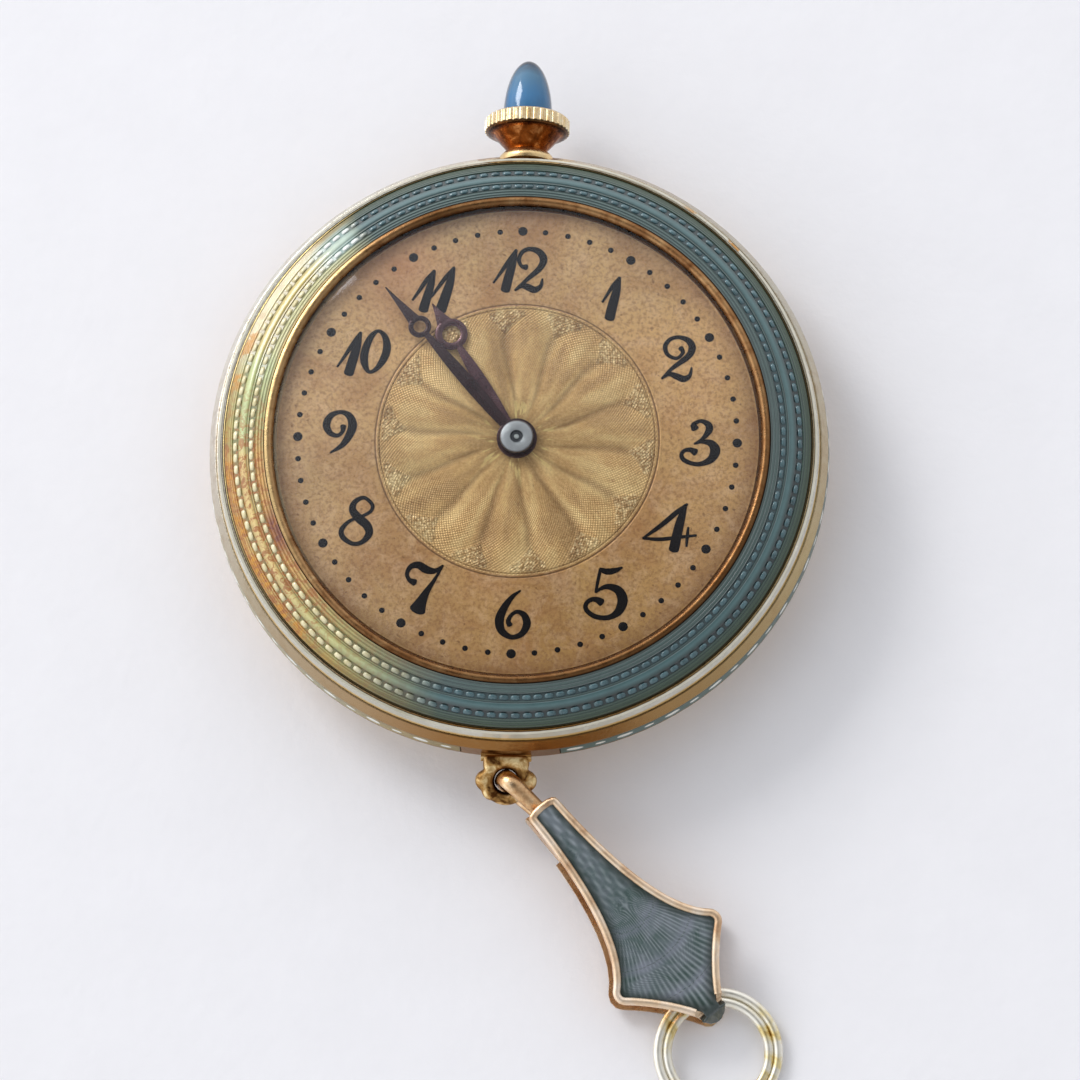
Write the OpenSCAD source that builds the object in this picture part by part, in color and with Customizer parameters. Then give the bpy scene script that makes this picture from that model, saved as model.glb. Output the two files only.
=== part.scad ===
// Lady's enamelled pendant watch lying on its back, with its link, clip and end ring.
// Millimetres. The dial's axis is +Z, twelve o'clock is +Y, and the back rests on z = 0.

/* [Case] */
// Outer radius of the case at the foot of its side band
case_r = 14.04; // [12:0.1:18]
// Radius of the flat that the back rests on
rest_r = 5.5; // [4:0.1:7]
// Height where the domed back meets the side band
back_h = 2.5; // [2:0.1:3.2]
// Thickness of the domed back
back_wall = 0.5; // [0.3:0.05:0.7]
// Height of the top of the enamelled side band
band_top = 3.44; // [3.2:0.02:3.6]

/* [Bezel and crystal] */
// Outer radius of the bezel
bezel_r = 13.24; // [12:0.02:13.3]
// Height of the bezel's outer edge
bezel_low = 4.6; // [4.4:0.02:4.8]
// Inner radius of the bezel's gold lip
lip_r = 10.94; // [10.5:0.02:11.1]
// Height of the crest of the gold lip
lip_top = 5.44; // [5.3:0.02:5.6]
// Rise of the crystal's outside from its edge to its middle
crystal_rise = 1.5; // [1.4:0.05:2]

/* [Dial and hands] */
// Height of the dial's face
dial_z = 4.8; // [4.7:0.02:4.9]
// Radius of the dial
dial_r = 11.0; // [10.6:0.1:11.2]
// Angle of the minute hand, clockwise from twelve
minute_angle = 318.8; // [0:0.1:360]
// Angle of the hour hand, clockwise from twelve
hour_angle = 327.6; // [0:0.1:360]
// Length of the minute hand from the centre
minute_len = 9.3; // [8:0.1:9.6]
// Length of the hour hand from the centre
hour_len = 7.45; // [6:0.05:8]

/* [Crown] */
// Height of the crown's axis
crown_z = 3.27; // [3.2:0.01:3.4]
// Radius of the knurled wheel
crown_r = 1.95; // [1.8:0.05:2]
// Number of flutes on the wheel
crown_flutes = 40; // [20:1:48]
// Length of the blue cabochon outside the wheel
cabochon_len = 2.85; // [1.5:0.05:3.5]
// Radius of the cabochon
cabochon_r = 1.12; // [1:0.02:1.2]

/* [Bow and link] */
// Distance of the bow's hole from the dial's axis
bow_y = 15.05; // [15:0.05:15.3]
// Height of the middle of the bow's hole
bow_z = 2.2; // [2.1:0.05:2.4]
// Radius of the bow's hole
bow_hole_r = 0.72; // [0.7:0.01:0.75]
// Half width of the link's wire at the bow
link_thick = 0.43; // [0.36:0.01:0.45]
// Half width of the link's wire inside the clip
link_thin = 0.32; // [0.26:0.01:0.34]

/* [Clip] */
// Length of the clip from its narrow end to its tip
clip_len = 12.2; // [12:0.1:12.5]
// Half width of the clip at its shoulders
clip_half = 2.95; // [2.5:0.05:3.2]
// Half width of the clip at its narrow end
clip_neck = 0.78; // [0.74:0.01:0.8]
// Direction of the clip's length, from +X
clip_turn = -48.4; // [-60:0.1:-40]
// Slope of the clip, whose narrow end is lifted by the link
clip_tilt = 6.5; // [6:0.1:7]
// Width of the gold rim round the clip's enamel
clip_rim = 0.25; // [0.2:0.01:0.3]

/* [End ring] */
// Outer radius of the end ring
ring_r = 2.88; // [2.8:0.01:3]
// Radius of each of its two side-by-side wires
ring_wire = 0.22; // [0.2:0.01:0.23]

/* [Hidden] */

gold = "goldenrod";
rose = "burlywood";
teal = "cadetblue";
slip = 0.03;
fit_gap = 0.02;

// Case: the dome is an arc that leaves the flat rest smoothly
back_r = case_r - 0.16;
back_top = back_h - slip;
dome_run = back_r - rest_r;
dome_r = (dome_run * dome_run + back_top * back_top) / (2 * back_top);
dome_end = asin(dome_run / dome_r);
middle_bore = 12.36;
ledge_bore = 11.9;
enamel_depth = 0.15;
white_in = bezel_r + 0.12;
white_out = 13.6;
white_low = 4.02;
bow_keep = 9;
neck_keep = 9;

// Bezel: the enamel slopes from the lip down to the bezel's edge
bezel_foot = 3.98;
enamel_in = 11.34;
enamel_out = bezel_r - 0.05;
enamel_top = 5.36;
crystal_r = 11.18;
crystal_low = 4.98;
crystal_edge = 5.2;
crystal_in_rise = crystal_rise - 0.22;

// Centre: a fixed post, the minute pipe on it and the hour pipe on that
movement_r = 12.3;
movement_low_r = 10.4;
movement_bottom = 1.5;
movement_step = 3.75;
dial_bottom = dial_z - 0.33;
movement_top = dial_bottom - slip;
post_r = 0.2;
minute_pipe_r = 0.38;
hour_pipe_r = 0.6;
hand_t = 0.08;
hour_hand_z = dial_z + 0.12;
minute_hand_z = dial_z + 0.28;
cap_r = 0.76;
cap_t = 0.22;
boss_r = 0.9;

// Crown, stem and neck, all on one axis along Y
crown_y = 15.1;
wheel_len = 0.62;
cone_in_y = 14.2;
neck_r = 0.95;
neck_y = 14.15;
stem_r = 0.3;
stem_in_y = 8.2;
pinion_r = 0.9;
pinion_in_y = 9;
pinion_out_y = 10.4;
stem_top_y = crown_y + 0.25;

// Clip, in its own frame: x along it from the narrow end, z up from its underside
clip_x = 1.25;
clip_y = -16.2;
back_t = 0.3;
front_low = 1.5;
front_t = 0.46;
leaf_t = 0.16;
back_grow = 0.12;
clip_lift = (clip_len + back_grow) * sin(clip_tilt);
bend_x = 11.55;
bend_angle = 52;
side_t = 0.16;
side_end = 2.4;
eye_x = 0.62;
eye_z = 0.55;
eye_r = 0.15;
hinge_x = 1.98;
hinge_z = 0.95;
hinge_r = 0.15;
knuckle_half = clip_neck - side_t - 0.03;

// Link: a pear-shaped loop in an upright plane from the bow's hole to the clip's bar
bow_end_r = 0.67;
link_flat_bow = 0.28;
link_flat_eye = 0.2;
eye_end_r = eye_r + 0.04 + link_flat_eye;
link_steps = 12;
link_sides = 10;
bar_at = clip_point([eye_x, 0, eye_z]);
bow_at = [-0.19, -bow_y, bow_z];
bow_droop = 20;
bow_t = 0.46;

// End ring, tilted because it lies over the clip's back leaf
ring_x = 9.42;
ring_y = -26.75;
ring_tilt = 5.8;
ring_mid_out = ring_r - ring_wire;
ring_mid_in = ring_mid_out - 2 * ring_wire + 0.03;
ring_z = (ring_r - ring_wire) * sin(ring_tilt) + ring_wire + 0.01;

function polar(r, a) = [r * cos(a), r * sin(a)];
function mix(a, b, t) = a * (1 - t) + b * t;
function bezier(a, b, c, t) = mix(mix(a, b, t), mix(b, c, t), t);
function unit(v) = v / norm(v);

// A point of the clip's own frame in the part's frame
function clip_point(p) =
    let (along = p[0] * cos(clip_tilt) + p[2] * sin(clip_tilt))
    [clip_x + along * cos(clip_turn) - p[1] * sin(clip_turn),
     clip_y + along * sin(clip_turn) + p[1] * cos(clip_turn),
     clip_lift - p[0] * sin(clip_tilt) + p[2] * cos(clip_tilt)];

// Spreads a profile drawn as radius and height around the dial's axis
module turned(points) {
    rotate_extrude($fn = 180) polygon(points);
}

module along_crown(from_y) {
    translate([0, from_y, crown_z]) rotate([-90, 0, 0]) children();
}

module place_clip() {
    translate([clip_x, clip_y, clip_lift]) rotate([0, 0, clip_turn]) rotate([0, clip_tilt, 0]) children();
}

// Points along the dome from its flat to a given angle, moved in by the wall
function dome_points(wall, end) =
    [for (i = [0 : 10]) let (a = end * i / 10)
        [rest_r + (dome_r - wall) * sin(a), dome_r - (dome_r - wall) * cos(a)]];

module case_back() {
    inner_end = acos((dome_r - back_top + 0.3) / (dome_r - back_wall));
    inner = dome_points(back_wall, inner_end);
    color(gold) turned(concat([[0, 0]], dome_points(0, dome_end), [[inner[10][0], back_top]],
        [for (i = [10 : -1 : 0]) inner[i]], [[0, back_wall]]));
}

// The lobed eyelet at six o'clock that the link hangs in, seen from above
module bow_outline() {
    circle(r = bow_hole_r + 0.33, $fn = 48);
    for (a = [0, 180]) translate(polar(0.88, a)) circle(r = 0.46, $fn = 32);
    for (a = [214, 326]) translate(polar(0.76, a)) circle(r = 0.42, $fn = 32);
    translate([-0.98, 0.2]) square([1.96, 1.3]);
    translate([-1.12, 0.9]) square([2.24, 0.6]);
}

module bow() {
    translate(bow_at) rotate([bow_droop, 0, 0]) translate([0, 0, -bow_t / 2]) linear_extrude(bow_t)
        difference() {
            bow_outline();
            circle(r = bow_hole_r, $fn = 48);
        }
}

module neck() {
    difference() {
        union() {
            along_crown(13.2) cylinder(h = neck_y - 13.2, r = neck_r, $fn = 64);
            along_crown(13.6) cylinder(h = 0.35, r1 = 1.3, r2 = neck_r, $fn = 64);
        }
        translate([0, 0, white_low - 0.1]) cylinder(h = 3, r = white_out + 0.06, $fn = 180);
        cylinder(h = back_h, r = case_r - 0.05, $fn = 180);
    }
}

// Keeps a wedge of the band free of enamel, where the bow or the neck is soldered on
module wedge(middle, half) {
    reach = 20;
    rotate([0, 0, middle]) linear_extrude(10)
        polygon([[0, 0], polar(reach, -half), polar(reach, half)]);
}

module band_ring(grow) {
    turned([[case_r - enamel_depth - grow, back_h + 0.15 - grow], [case_r + 0.3, back_h + 0.15 - grow],
        [case_r + 0.3, band_top - 0.08 + grow], [case_r - enamel_depth - 0.03 - grow, band_top - 0.08 + grow]]);
}

module keep_out() {
    wedge(-90, bow_keep);
    wedge(90, neck_keep);
}

module case_middle() {
    profile = [[middle_bore, back_h], [case_r - 0.03, back_h], [case_r, back_h + 0.05],
        [case_r - 0.07, band_top], [13.68, white_low - 0.03], [white_out + 0.02, white_low - 0.02],
        [white_out - 0.05, white_low - 0.12], [white_in - 0.02, bezel_low - 0.45],
        [white_in - 0.02, bezel_low], [white_in - 0.08, bezel_low], [white_in - 0.08, 3.95],
        [middle_bore, 3.95]];
    color(gold) difference() {
        union() {
            turned(profile);
            turned([[ledge_bore, 3.4], [middle_bore + 0.1, 3.4], [middle_bore + 0.1, movement_step - slip],
                [ledge_bore, movement_step - slip]]);
            neck();
            difference() {
                bow();
                cylinder(h = 10, r = case_r - 0.4, $fn = 180);
                cylinder(h = back_h, r = case_r - 0.05, $fn = 180);
            }
        }
        difference() {
            band_ring(0);
            keep_out();
        }
        along_crown(11) cylinder(h = 4, r = stem_r + 0.1, $fn = 32);
    }
}

// The band's enamel in two halves, parted at the bow and the neck
module band_enamel(side) {
    skin = [[case_r - enamel_depth + fit_gap, back_h + 0.17], [case_r, back_h + 0.17],
        [case_r - 0.06, band_top - 0.1], [case_r - enamel_depth - 0.01, band_top - 0.1]];
    color(teal) difference() {
        turned(skin);
        wedge(-90, bow_keep + 0.2);
        wedge(90, neck_keep + 0.2);
        translate([side > 0 ? -20 : 0, -20, 0]) cube([20, 40, 10]);
    }
}

module white_ring() {
    color("ivory") turned([[white_in, bezel_low - 0.4], [white_out - 0.06, white_low - 0.08],
        [white_out, white_low], [white_in + 0.1, bezel_low - 0.04], [white_in, bezel_low - 0.02]]);
}

// A gold ring with a rounded inner lip, a channel for the enamel and a groove for the crystal
module bezel() {
    lip = [for (i = [0 : 6]) let (t = i / 6)
        bezier([lip_r, crystal_edge + 0.03], [lip_r + 0.12, lip_top + 0.06], [enamel_in - 0.02, enamel_top], t)];
    color(rose) turned(concat(
        [[middle_bore, bezel_foot], [bezel_r, bezel_foot], [bezel_r, bezel_low], [bezel_r - 0.04, bezel_low + 0.01],
         [bezel_r - 0.04, bezel_low - 0.2], [enamel_in, enamel_top - 0.25]],
        [for (i = [6 : -1 : 0]) lip[i]],
        [[crystal_r + fit_gap, crystal_edge + 0.03], [crystal_r + fit_gap, crystal_low - 0.03],
         [lip_r - 0.12, crystal_low - 0.03], [lip_r - 0.12, dial_z + slip], [dial_r + 0.15, dial_z + slip],
         [dial_r + 0.15, movement_top + 0.06], [middle_bore, movement_top + 0.06]]));
}

function slope_z(r) =
    let (t = (r - enamel_in) / (enamel_out - enamel_in))
    enamel_top + (bezel_low - enamel_top) * t + 0.18 * t * (1 - t);

module bezel_enamel() {
    steps = 12;
    top = [for (i = [0 : steps]) let (r = mix(enamel_in + fit_gap, enamel_out - fit_gap, i / steps))
        [r, slope_z(r)]];
    color(teal) turned(concat([[enamel_out - fit_gap, bezel_low - 0.17], [enamel_in + fit_gap, enamel_top - 0.22]], top));
}

function cap_arc(r, low, rise, steps) =
    [for (i = [0 : steps]) let (x = r * (1 - i / steps)) [x, low + rise * (1 - x * x / (r * r))]];

// A domed glass whose thin edge snaps into the bezel's groove
module crystal() {
    outside = cap_arc(lip_r - fit_gap, crystal_edge, crystal_rise, 12);
    inside = cap_arc(lip_r - 0.3, crystal_low, crystal_in_rise, 12);
    color("lightcyan", 0.35) turned(concat([[crystal_r, crystal_low], [crystal_r, crystal_edge]], outside,
        [for (i = [12 : -1 : 0]) inside[i]]));
}

module dial() {
    color("tan") difference() {
        translate([0, 0, dial_bottom]) cylinder(h = dial_z - dial_bottom, r = dial_r, $fn = 180);
        translate([0, 0, dial_bottom - 1]) cylinder(h = 3, r = hour_pipe_r + 0.1, $fn = 48);
    }
}

// The works as plain plates, with the hands' post and the bores of the winding stem and its pinion
module movement() {
    color("silver") difference() {
        union() {
            translate([0, 0, movement_step]) cylinder(h = movement_top - movement_step, r = movement_r, $fn = 180);
            translate([0, 0, movement_bottom])
                cylinder(h = movement_step - movement_bottom + 0.1, r = movement_low_r, $fn = 180);
        }
        translate([0, 0, 3.9]) cylinder(h = 2, r = hour_pipe_r + 0.1, $fn = 48);
        along_crown(stem_in_y - 0.4) cylinder(h = 6, r = stem_r + fit_gap, $fn = 32);
        along_crown(pinion_in_y - slip) cylinder(h = 3, r = pinion_r + fit_gap, $fn = 48);
    }
    color("silver") translate([0, 0, 3.5]) cylinder(h = minute_hand_z + hand_t - 3.5, r = post_r, $fn = 32);
}

// A leaf-shaped arm, a hollow eye and a pointed tip, drawn along +X
module hand_outline(eye_at, eye_out, eye_in, leaf, len) {
    neck_half = 0.13;
    tip_half = 0.05;
    difference() {
        union() {
            polygon(concat(
                [for (i = [0 : 12]) let (t = i / 12)
                    bezier([0.5, 0.2], [0.42 * eye_at, 2 * leaf - 0.1], [eye_at - 0.9 * eye_out, neck_half], t)],
                [for (i = [12 : -1 : 0]) let (t = i / 12)
                    bezier([0.5, -0.2], [0.42 * eye_at, 0.1 - 2 * leaf], [eye_at - 0.9 * eye_out, -neck_half], t)]));
            translate([eye_at, 0]) circle(r = eye_out, $fn = 48);
            polygon([[eye_at + 0.8 * eye_out, 0.55 * eye_out], [len, tip_half], [len, -tip_half],
                [eye_at + 0.8 * eye_out, -0.55 * eye_out]]);
        }
        translate([eye_at + 0.05, 0]) circle(r = eye_in, $fn = 48);
    }
}

module hour_hand() {
    color("saddlebrown") rotate([0, 0, 90 - hour_angle]) difference() {
        union() {
            translate([0, 0, hour_hand_z]) linear_extrude(hand_t) hand_outline(5.75, 0.74, 0.45, 0.4, hour_len);
            translate([0, 0, 4.1]) cylinder(h = hour_hand_z + hand_t - 4.1, r = hour_pipe_r, $fn = 48);
            translate([0, 0, hour_hand_z]) cylinder(h = hand_t, r = boss_r, $fn = 48);
        }
        translate([0, 0, 4]) cylinder(h = 3, r = minute_pipe_r + fit_gap, $fn = 32);
    }
}

module minute_hand() {
    color("saddlebrown") rotate([0, 0, 90 - minute_angle]) difference() {
        union() {
            translate([0, 0, minute_hand_z]) linear_extrude(hand_t) hand_outline(6.84, 0.52, 0.35, 0.34, minute_len);
            translate([0, 0, 4.0]) cylinder(h = minute_hand_z + hand_t - 4.0, r = minute_pipe_r, $fn = 48);
            translate([0, 0, minute_hand_z]) cylinder(h = hand_t, r = boss_r, $fn = 48);
        }
        translate([0, 0, 3.9]) cylinder(h = 3, r = post_r + fit_gap, $fn = 32);
    }
}

// The steel cap pressed on the minute pipe, with a small well round the post's end
module centre_cap() {
    low = minute_hand_z + hand_t + 0.01;
    color("silver") difference() {
        translate([0, 0, low]) cylinder(h = cap_t, r = cap_r, $fn = 64);
        translate([0, 0, low + cap_t - 0.08]) cylinder(h = 1, r = 0.25, $fn = 32);
    }
}

module winding_pinion() {
    color("silver") difference() {
        along_crown(pinion_in_y) cylinder(h = pinion_out_y - pinion_in_y, r = pinion_r, $fn = 48);
        along_crown(pinion_in_y - 1) cylinder(h = 4, r = stem_r + fit_gap, $fn = 32);
    }
}

module stem() {
    color("silver") along_crown(stem_in_y) cylinder(h = stem_top_y - stem_in_y, r = stem_r, $fn = 32);
}

// The fluted wheel, with a cone under it that turns just clear of the case's neck
module crown() {
    profile = [[stem_r + 0.005, 0], [0.84, 0], [1.55, 0.8], [1.72, 0.86], [crown_r, 0.98],
        [crown_r, 0.98 + wheel_len - 0.12], [crown_r - 0.12, 0.98 + wheel_len], [cabochon_r + 0.06, 0.98 + wheel_len],
        [cabochon_r + 0.01, 0.98 + wheel_len - 0.2], [0.6, 0.98 + wheel_len - 0.2], [stem_r + 0.005, 1.2]];
    color(gold) along_crown(cone_in_y) difference() {
        rotate_extrude($fn = 80) polygon(profile);
        for (i = [0 : crown_flutes - 1]) rotate([0, 0, 360 * i / crown_flutes])
            translate([crown_r + 0.05, 0, 0.9]) cylinder(h = wheel_len + 0.2, r = 0.12, $fn = 16);
    }
}

// A bullet of blue stone, seated in the wheel's outer face
module cabochon() {
    base_y = cone_in_y + 0.98 + wheel_len - 0.17;
    reach = cabochon_len + 0.17;
    bullet = [for (i = [0 : 12]) let (a = 90 * i / 12) [cabochon_r * cos(a), 0.35 + (reach - 0.35) * sin(a)]];
    color("steelblue") along_crown(base_y)
        rotate_extrude($fn = 64) polygon(concat([[0, 0], [cabochon_r - 0.05, 0], [cabochon_r, 0.1]], bullet));
}

// The link's centre line in its own plane: x towards the clip, y up
function link_span() = norm([bar_at[0] - bow_at[0], bar_at[1] - bow_at[1], bar_at[2] - bow_at[2]]);
function link_line() =
    let (span = link_span() - bow_end_r, lean = asin((bow_end_r - eye_end_r) / span))
    concat([for (i = [0 : link_steps]) let (a = mix(90 - lean, 270 + lean, i / link_steps))
            polar(bow_end_r, a) + [bow_end_r, 0]],
        [for (i = [0 : link_steps]) let (a = mix(270 + lean, 450 - lean, i / link_steps))
            polar(eye_end_r, a) + [span + bow_end_r, 0]]);

module link() {
    line = link_line();
    count = len(line);
    way = bar_at - bow_at;
    far = link_span();
    heading = atan2(way[1], way[0]);
    slope = atan2(way[2], norm([way[0], way[1]]));
    rings = [for (i = [0 : count - 1])
        let (here = line[i],
             before = line[(i + count - 1) % count],
             after = line[(i + 1) % count],
             out = unit([after[1] - before[1], before[0] - after[0]]),
             t = min(max(here[0] / far, 0), 1),
             flat = mix(link_flat_bow, link_flat_eye, t),
             wide = mix(link_thick, link_thin, t))
        for (s = [0 : link_sides - 1])
            let (a = 360 * s / link_sides, o = flat * cos(a))
            [here[0] + out[0] * o, wide * sin(a), here[1] + out[1] * o]];
    faces = [for (i = [0 : count - 1]) for (s = [0 : link_sides - 1])
        let (n = (i + 1) % count, m = (s + 1) % link_sides)
        [i * link_sides + s, i * link_sides + m, n * link_sides + m, n * link_sides + s]];
    color(gold) translate(bow_at) rotate([0, 0, heading]) rotate([0, -slope, 0])
        polyhedron(points = rings, faces = faces, convexity = 6);
}

// One side of the clip's spade outline, from the narrow end to the tip, as length and half width
function spade_side() = concat(
    [[0, clip_neck - 0.36], [0.08, clip_neck - 0.16], [0.24, clip_neck - 0.02]],
    [for (i = [1 : 9]) bezier([0.24, clip_neck - 0.02], [6.7, 0.92], [8.35, clip_half - 0.12], i / 9)],
    [[8.6, clip_half], [8.9, clip_half - 0.02], [9.1, clip_half - 0.16]],
    [for (i = [1 : 7]) bezier([9.1, clip_half - 0.16], [10.4, 1.3], [clip_len - 0.15, 0.42], i / 7)],
    [[clip_len, 0.22]]);

// The outline moved inwards by an inset, with both sides
function spade(inset) =
    let (side = spade_side(), last = len(side) - 1,
         moved = [for (i = [0 : last])
            let (before = side[max(i - 1, 0)], after = side[min(i + 1, last)],
                 d = unit(after - before))
            side[i] + inset * [d[1], -d[0]]])
    concat([for (i = [0 : last]) [moved[i][0], max(moved[i][1], 0.05)]],
        [for (i = [last : -1 : 0]) [moved[i][0], -max(moved[i][1], 0.05)]]);

// A plate of the clip's outline between two heights
module spade_plate(inset, low, high) {
    translate([0, 0, low]) linear_extrude(high - low) polygon(spade(inset));
}

// The leaf's side profile between two heights, straight to the bend and then turned down about it
function bent_profile(low, high) =
    let (turn = [for (i = [0 : 6]) 90 - bend_angle * i / 6], fall = 90 - bend_angle,
         run = (clip_len - bend_x) * [cos(bend_angle), -sin(bend_angle)], pivot = [bend_x, front_low])
    concat([[-1, front_low + low], [-1, front_low + high]], [for (a = turn) pivot + polar(high, a)],
        [pivot + polar(high, fall) + run, pivot + polar(low, fall) + run],
        low > 0 ? [for (i = [6 : -1 : 0]) pivot + polar(low, turn[i])] : [pivot]);

// The outline seen from above, whose tip is stretched a little so that the bent end is cut square
function bent_outline(inset) =
    [for (p = spade(inset)) [p[0] > bend_x ? bend_x + 1.15 * (p[0] - bend_x) : p[0], p[1]]];

module bent_leaf(low, high) {
    intersection() {
        rotate([90, 0, 0]) translate([0, 0, -5]) linear_extrude(10) polygon(bent_profile(low, high));
        linear_extrude(5) children();
    }
}

module side_wall(side) {
    translate([0, side > 0 ? clip_neck - side_t : -clip_neck, 0]) rotate([90, 0, 0]) translate([0, 0, -side_t])
        linear_extrude(side_t) polygon([[0, 0.25], [0.12, 0], [side_end, 0], [side_end, back_t],
            [side_end - 0.25, front_low - 0.12], [hinge_x - 0.3, front_low - 0.1], [0.15, front_low - 0.3], [0, 0.9]]);
}

// The back leaf with its two side walls, the bar that the link hangs on and the catch at its tip
module clip_back() {
    color(gold) place_clip() difference() {
        union() {
            difference() {
                spade_plate(-back_grow, 0, back_t);
                translate([-1, -knuckle_half, -1]) cube([side_end + 0.6, 2 * knuckle_half, 3]);
                translate([-1, -5, -1]) cube([0.4 + 1, 10, 3]);
            }
            side_wall(1);
            side_wall(-1);
            translate([eye_x, clip_neck - 0.05, eye_z]) rotate([90, 0, 0])
                cylinder(h = 2 * clip_neck - 0.1, r = eye_r, $fn = 32);
            translate([clip_len - 0.42, -0.2, back_t - 0.1]) cube([0.3, 0.4, 0.35]);
        }
        translate([hinge_x, 2, hinge_z]) rotate([90, 0, 0]) cylinder(h = 4, r = hinge_r + fit_gap, $fn = 32);
        translate([-3, clip_neck, -1]) cube([3 + side_end, 2, 4]);
        translate([-3, -clip_neck - 2, -1]) cube([3 + side_end, 2, 4]);
    }
}

module clip_pin() {
    color(gold) place_clip() translate([hinge_x, clip_neck - 0.01, hinge_z]) rotate([90, 0, 0])
        cylinder(h = 2 * clip_neck - 0.02, r = hinge_r, $fn = 32);
}

// The front leaf: a tray with a raised rim, a bare tip bent down to the catch, and a knuckle on the pin
module clip_front() {
    knuckle_out = 0.36;
    color(rose) place_clip() difference() {
        union() {
            bent_leaf(0, leaf_t) polygon(bent_outline(0));
            difference() {
                spade_plate(0, front_low + leaf_t / 2, front_low + front_t);
                spade_plate(clip_rim, front_low, front_low + front_t + 1);
                translate([bend_x - slip, -5, 0]) cube([5, 10, 5]);
            }
            translate([hinge_x, knuckle_half - slip, hinge_z]) rotate([90, 0, 0])
                cylinder(h = 2 * (knuckle_half - slip), r = knuckle_out, $fn = 40);
            translate([hinge_x - 0.3, slip - knuckle_half, hinge_z])
                cube([0.6, 2 * (knuckle_half - slip), front_low - hinge_z + 0.05]);
        }
        translate([hinge_x, 2, hinge_z]) rotate([90, 0, 0]) cylinder(h = 4, r = hinge_r + fit_gap, $fn = 32);
    }
}

// The enamel lies in the tray and covers the bent tip to its edge
module clip_enamel() {
    color(teal) place_clip() bent_leaf(leaf_t + 0.02, front_t - 0.04) {
        union() {
            polygon(spade(clip_rim + 0.02));
            intersection() {
                polygon(bent_outline(0));
                translate([bend_x, -5]) square(10);
            }
        }
    }
}

module end_ring() {
    color("gold") translate([ring_x, ring_y, ring_z]) rotate([0, 0, clip_turn]) rotate([0, ring_tilt, 0])
        rotate_extrude($fn = 96) {
            translate([ring_mid_out, 0]) circle(r = ring_wire, $fn = 20);
            translate([ring_mid_in, 0]) circle(r = ring_wire, $fn = 20);
        }
}

case_back();
case_middle();
band_enamel(-1);  // band_enamel_left
band_enamel(1);  // band_enamel_right
white_ring();
bezel();
bezel_enamel();
crystal();
dial();
movement();
hour_hand();
minute_hand();
centre_cap();
winding_pinion();
stem();
crown();
cabochon();
link();
clip_back();
clip_pin();
clip_front();
clip_enamel();
end_ring();
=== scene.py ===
import bmesh
import bpy
import numpy as np
from mathutils import Matrix, Vector


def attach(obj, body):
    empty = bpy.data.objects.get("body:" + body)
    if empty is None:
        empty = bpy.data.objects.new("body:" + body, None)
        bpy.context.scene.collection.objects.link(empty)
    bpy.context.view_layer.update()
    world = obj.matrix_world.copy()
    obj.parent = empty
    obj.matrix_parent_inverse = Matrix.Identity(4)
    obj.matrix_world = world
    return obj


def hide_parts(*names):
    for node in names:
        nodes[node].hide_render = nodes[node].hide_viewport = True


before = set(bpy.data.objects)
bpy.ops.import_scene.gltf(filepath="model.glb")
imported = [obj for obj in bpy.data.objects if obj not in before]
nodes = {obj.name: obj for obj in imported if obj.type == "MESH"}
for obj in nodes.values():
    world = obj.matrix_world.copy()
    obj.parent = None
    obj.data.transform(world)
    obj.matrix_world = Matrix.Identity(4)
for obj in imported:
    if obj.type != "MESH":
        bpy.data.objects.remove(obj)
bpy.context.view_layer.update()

# --- Table, light and camera ---
# A sheet of white cotton paper lies under the watch. A wide soft lamp stands to the upper left and a pale
# room fills the rest, so the shadows fall softly to the lower right. The camera looks down from about 75 degrees.
mm = 0.001
camera_at = (8.9, -54.46, 191.38)
camera_right = (0.9991, 0.0255, -0.0347)
camera_up = (-0.0157, 0.9659, 0.2586)
camera_back = (0.0401, -0.2578, 0.9654)
camera_lens, camera_sensor = 144.67, 36
lamp_from = np.array([-0.60, 0.57, 0.55])
lamp_far, lamp_wide, lamp_watts = 0.55, 0.20, 1.15
room_light, bright_side = 2.0, (-0.8, 0.6, 0)
paper_half, paper_z = 400, -0.02


def tone(red, green, blue):
    """A screen colour of 0 to 255 as the shader's own numbers."""
    part = np.array([red, green, blue]) / 255
    part = np.where(part <= 0.04045, part / 12.92, ((part + 0.055) / 1.055) ** 2.4)
    return (*(float(p) for p in part), 1.0)


def add(tree, kind, inputs=None, out=0, **settings):
    """Adds one shader node, sets or links its inputs, and gives back one of its outputs."""
    node = tree.nodes.new("ShaderNode" + kind)
    for key, value in settings.items():
        setattr(node, key, value)
    for key, value in (inputs or {}).items():
        if isinstance(value, bpy.types.NodeSocket):
            tree.links.new(value, node.inputs[key])
        else:
            node.inputs[key].default_value = value
    return node.outputs[out]


def reckon(tree, operation, first, second=0.0, third=0.0):
    return add(tree, "Math", {0: first, 1: second, 2: third}, operation=operation)


def ramp(tree, along, stops):
    """Greys or screen colours along a value from 0 to 1."""
    node = tree.nodes.new("ShaderNodeValToRGB")
    tree.links.new(along, node.inputs[0])
    marks = node.color_ramp.elements
    for i, (at, shade) in enumerate(stops):
        mark = marks[i] if i < 2 else marks.new(at)
        mark.position = at
        mark.color = tone(*shade) if isinstance(shade, tuple) else (shade, shade, shade, 1)
    return node.outputs[0]


def blend(tree, share, first, second, how="MIX"):
    """Mixes two colours, each a socket or a screen colour."""
    first, second = (tone(*shade) if isinstance(shade, tuple) else shade for shade in (first, second))
    return add(tree, "Mix", {0: share, 6: first, 7: second}, out=2, data_type="RGBA", blend_type=how)


def own_place(tree):
    return add(tree, "TexCoord", out="Object")


def speckle(tree, size, detail=3.0, rough=0.55, warp=0.0):
    """Cloudy noise in the part's own frame, whose patches are about size millimetres wide."""
    return add(tree, "TexNoise", {"Vector": own_place(tree), "Scale": 1 / (size * mm), "Detail": detail,
                                  "Roughness": rough, "Distortion": warp})


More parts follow.
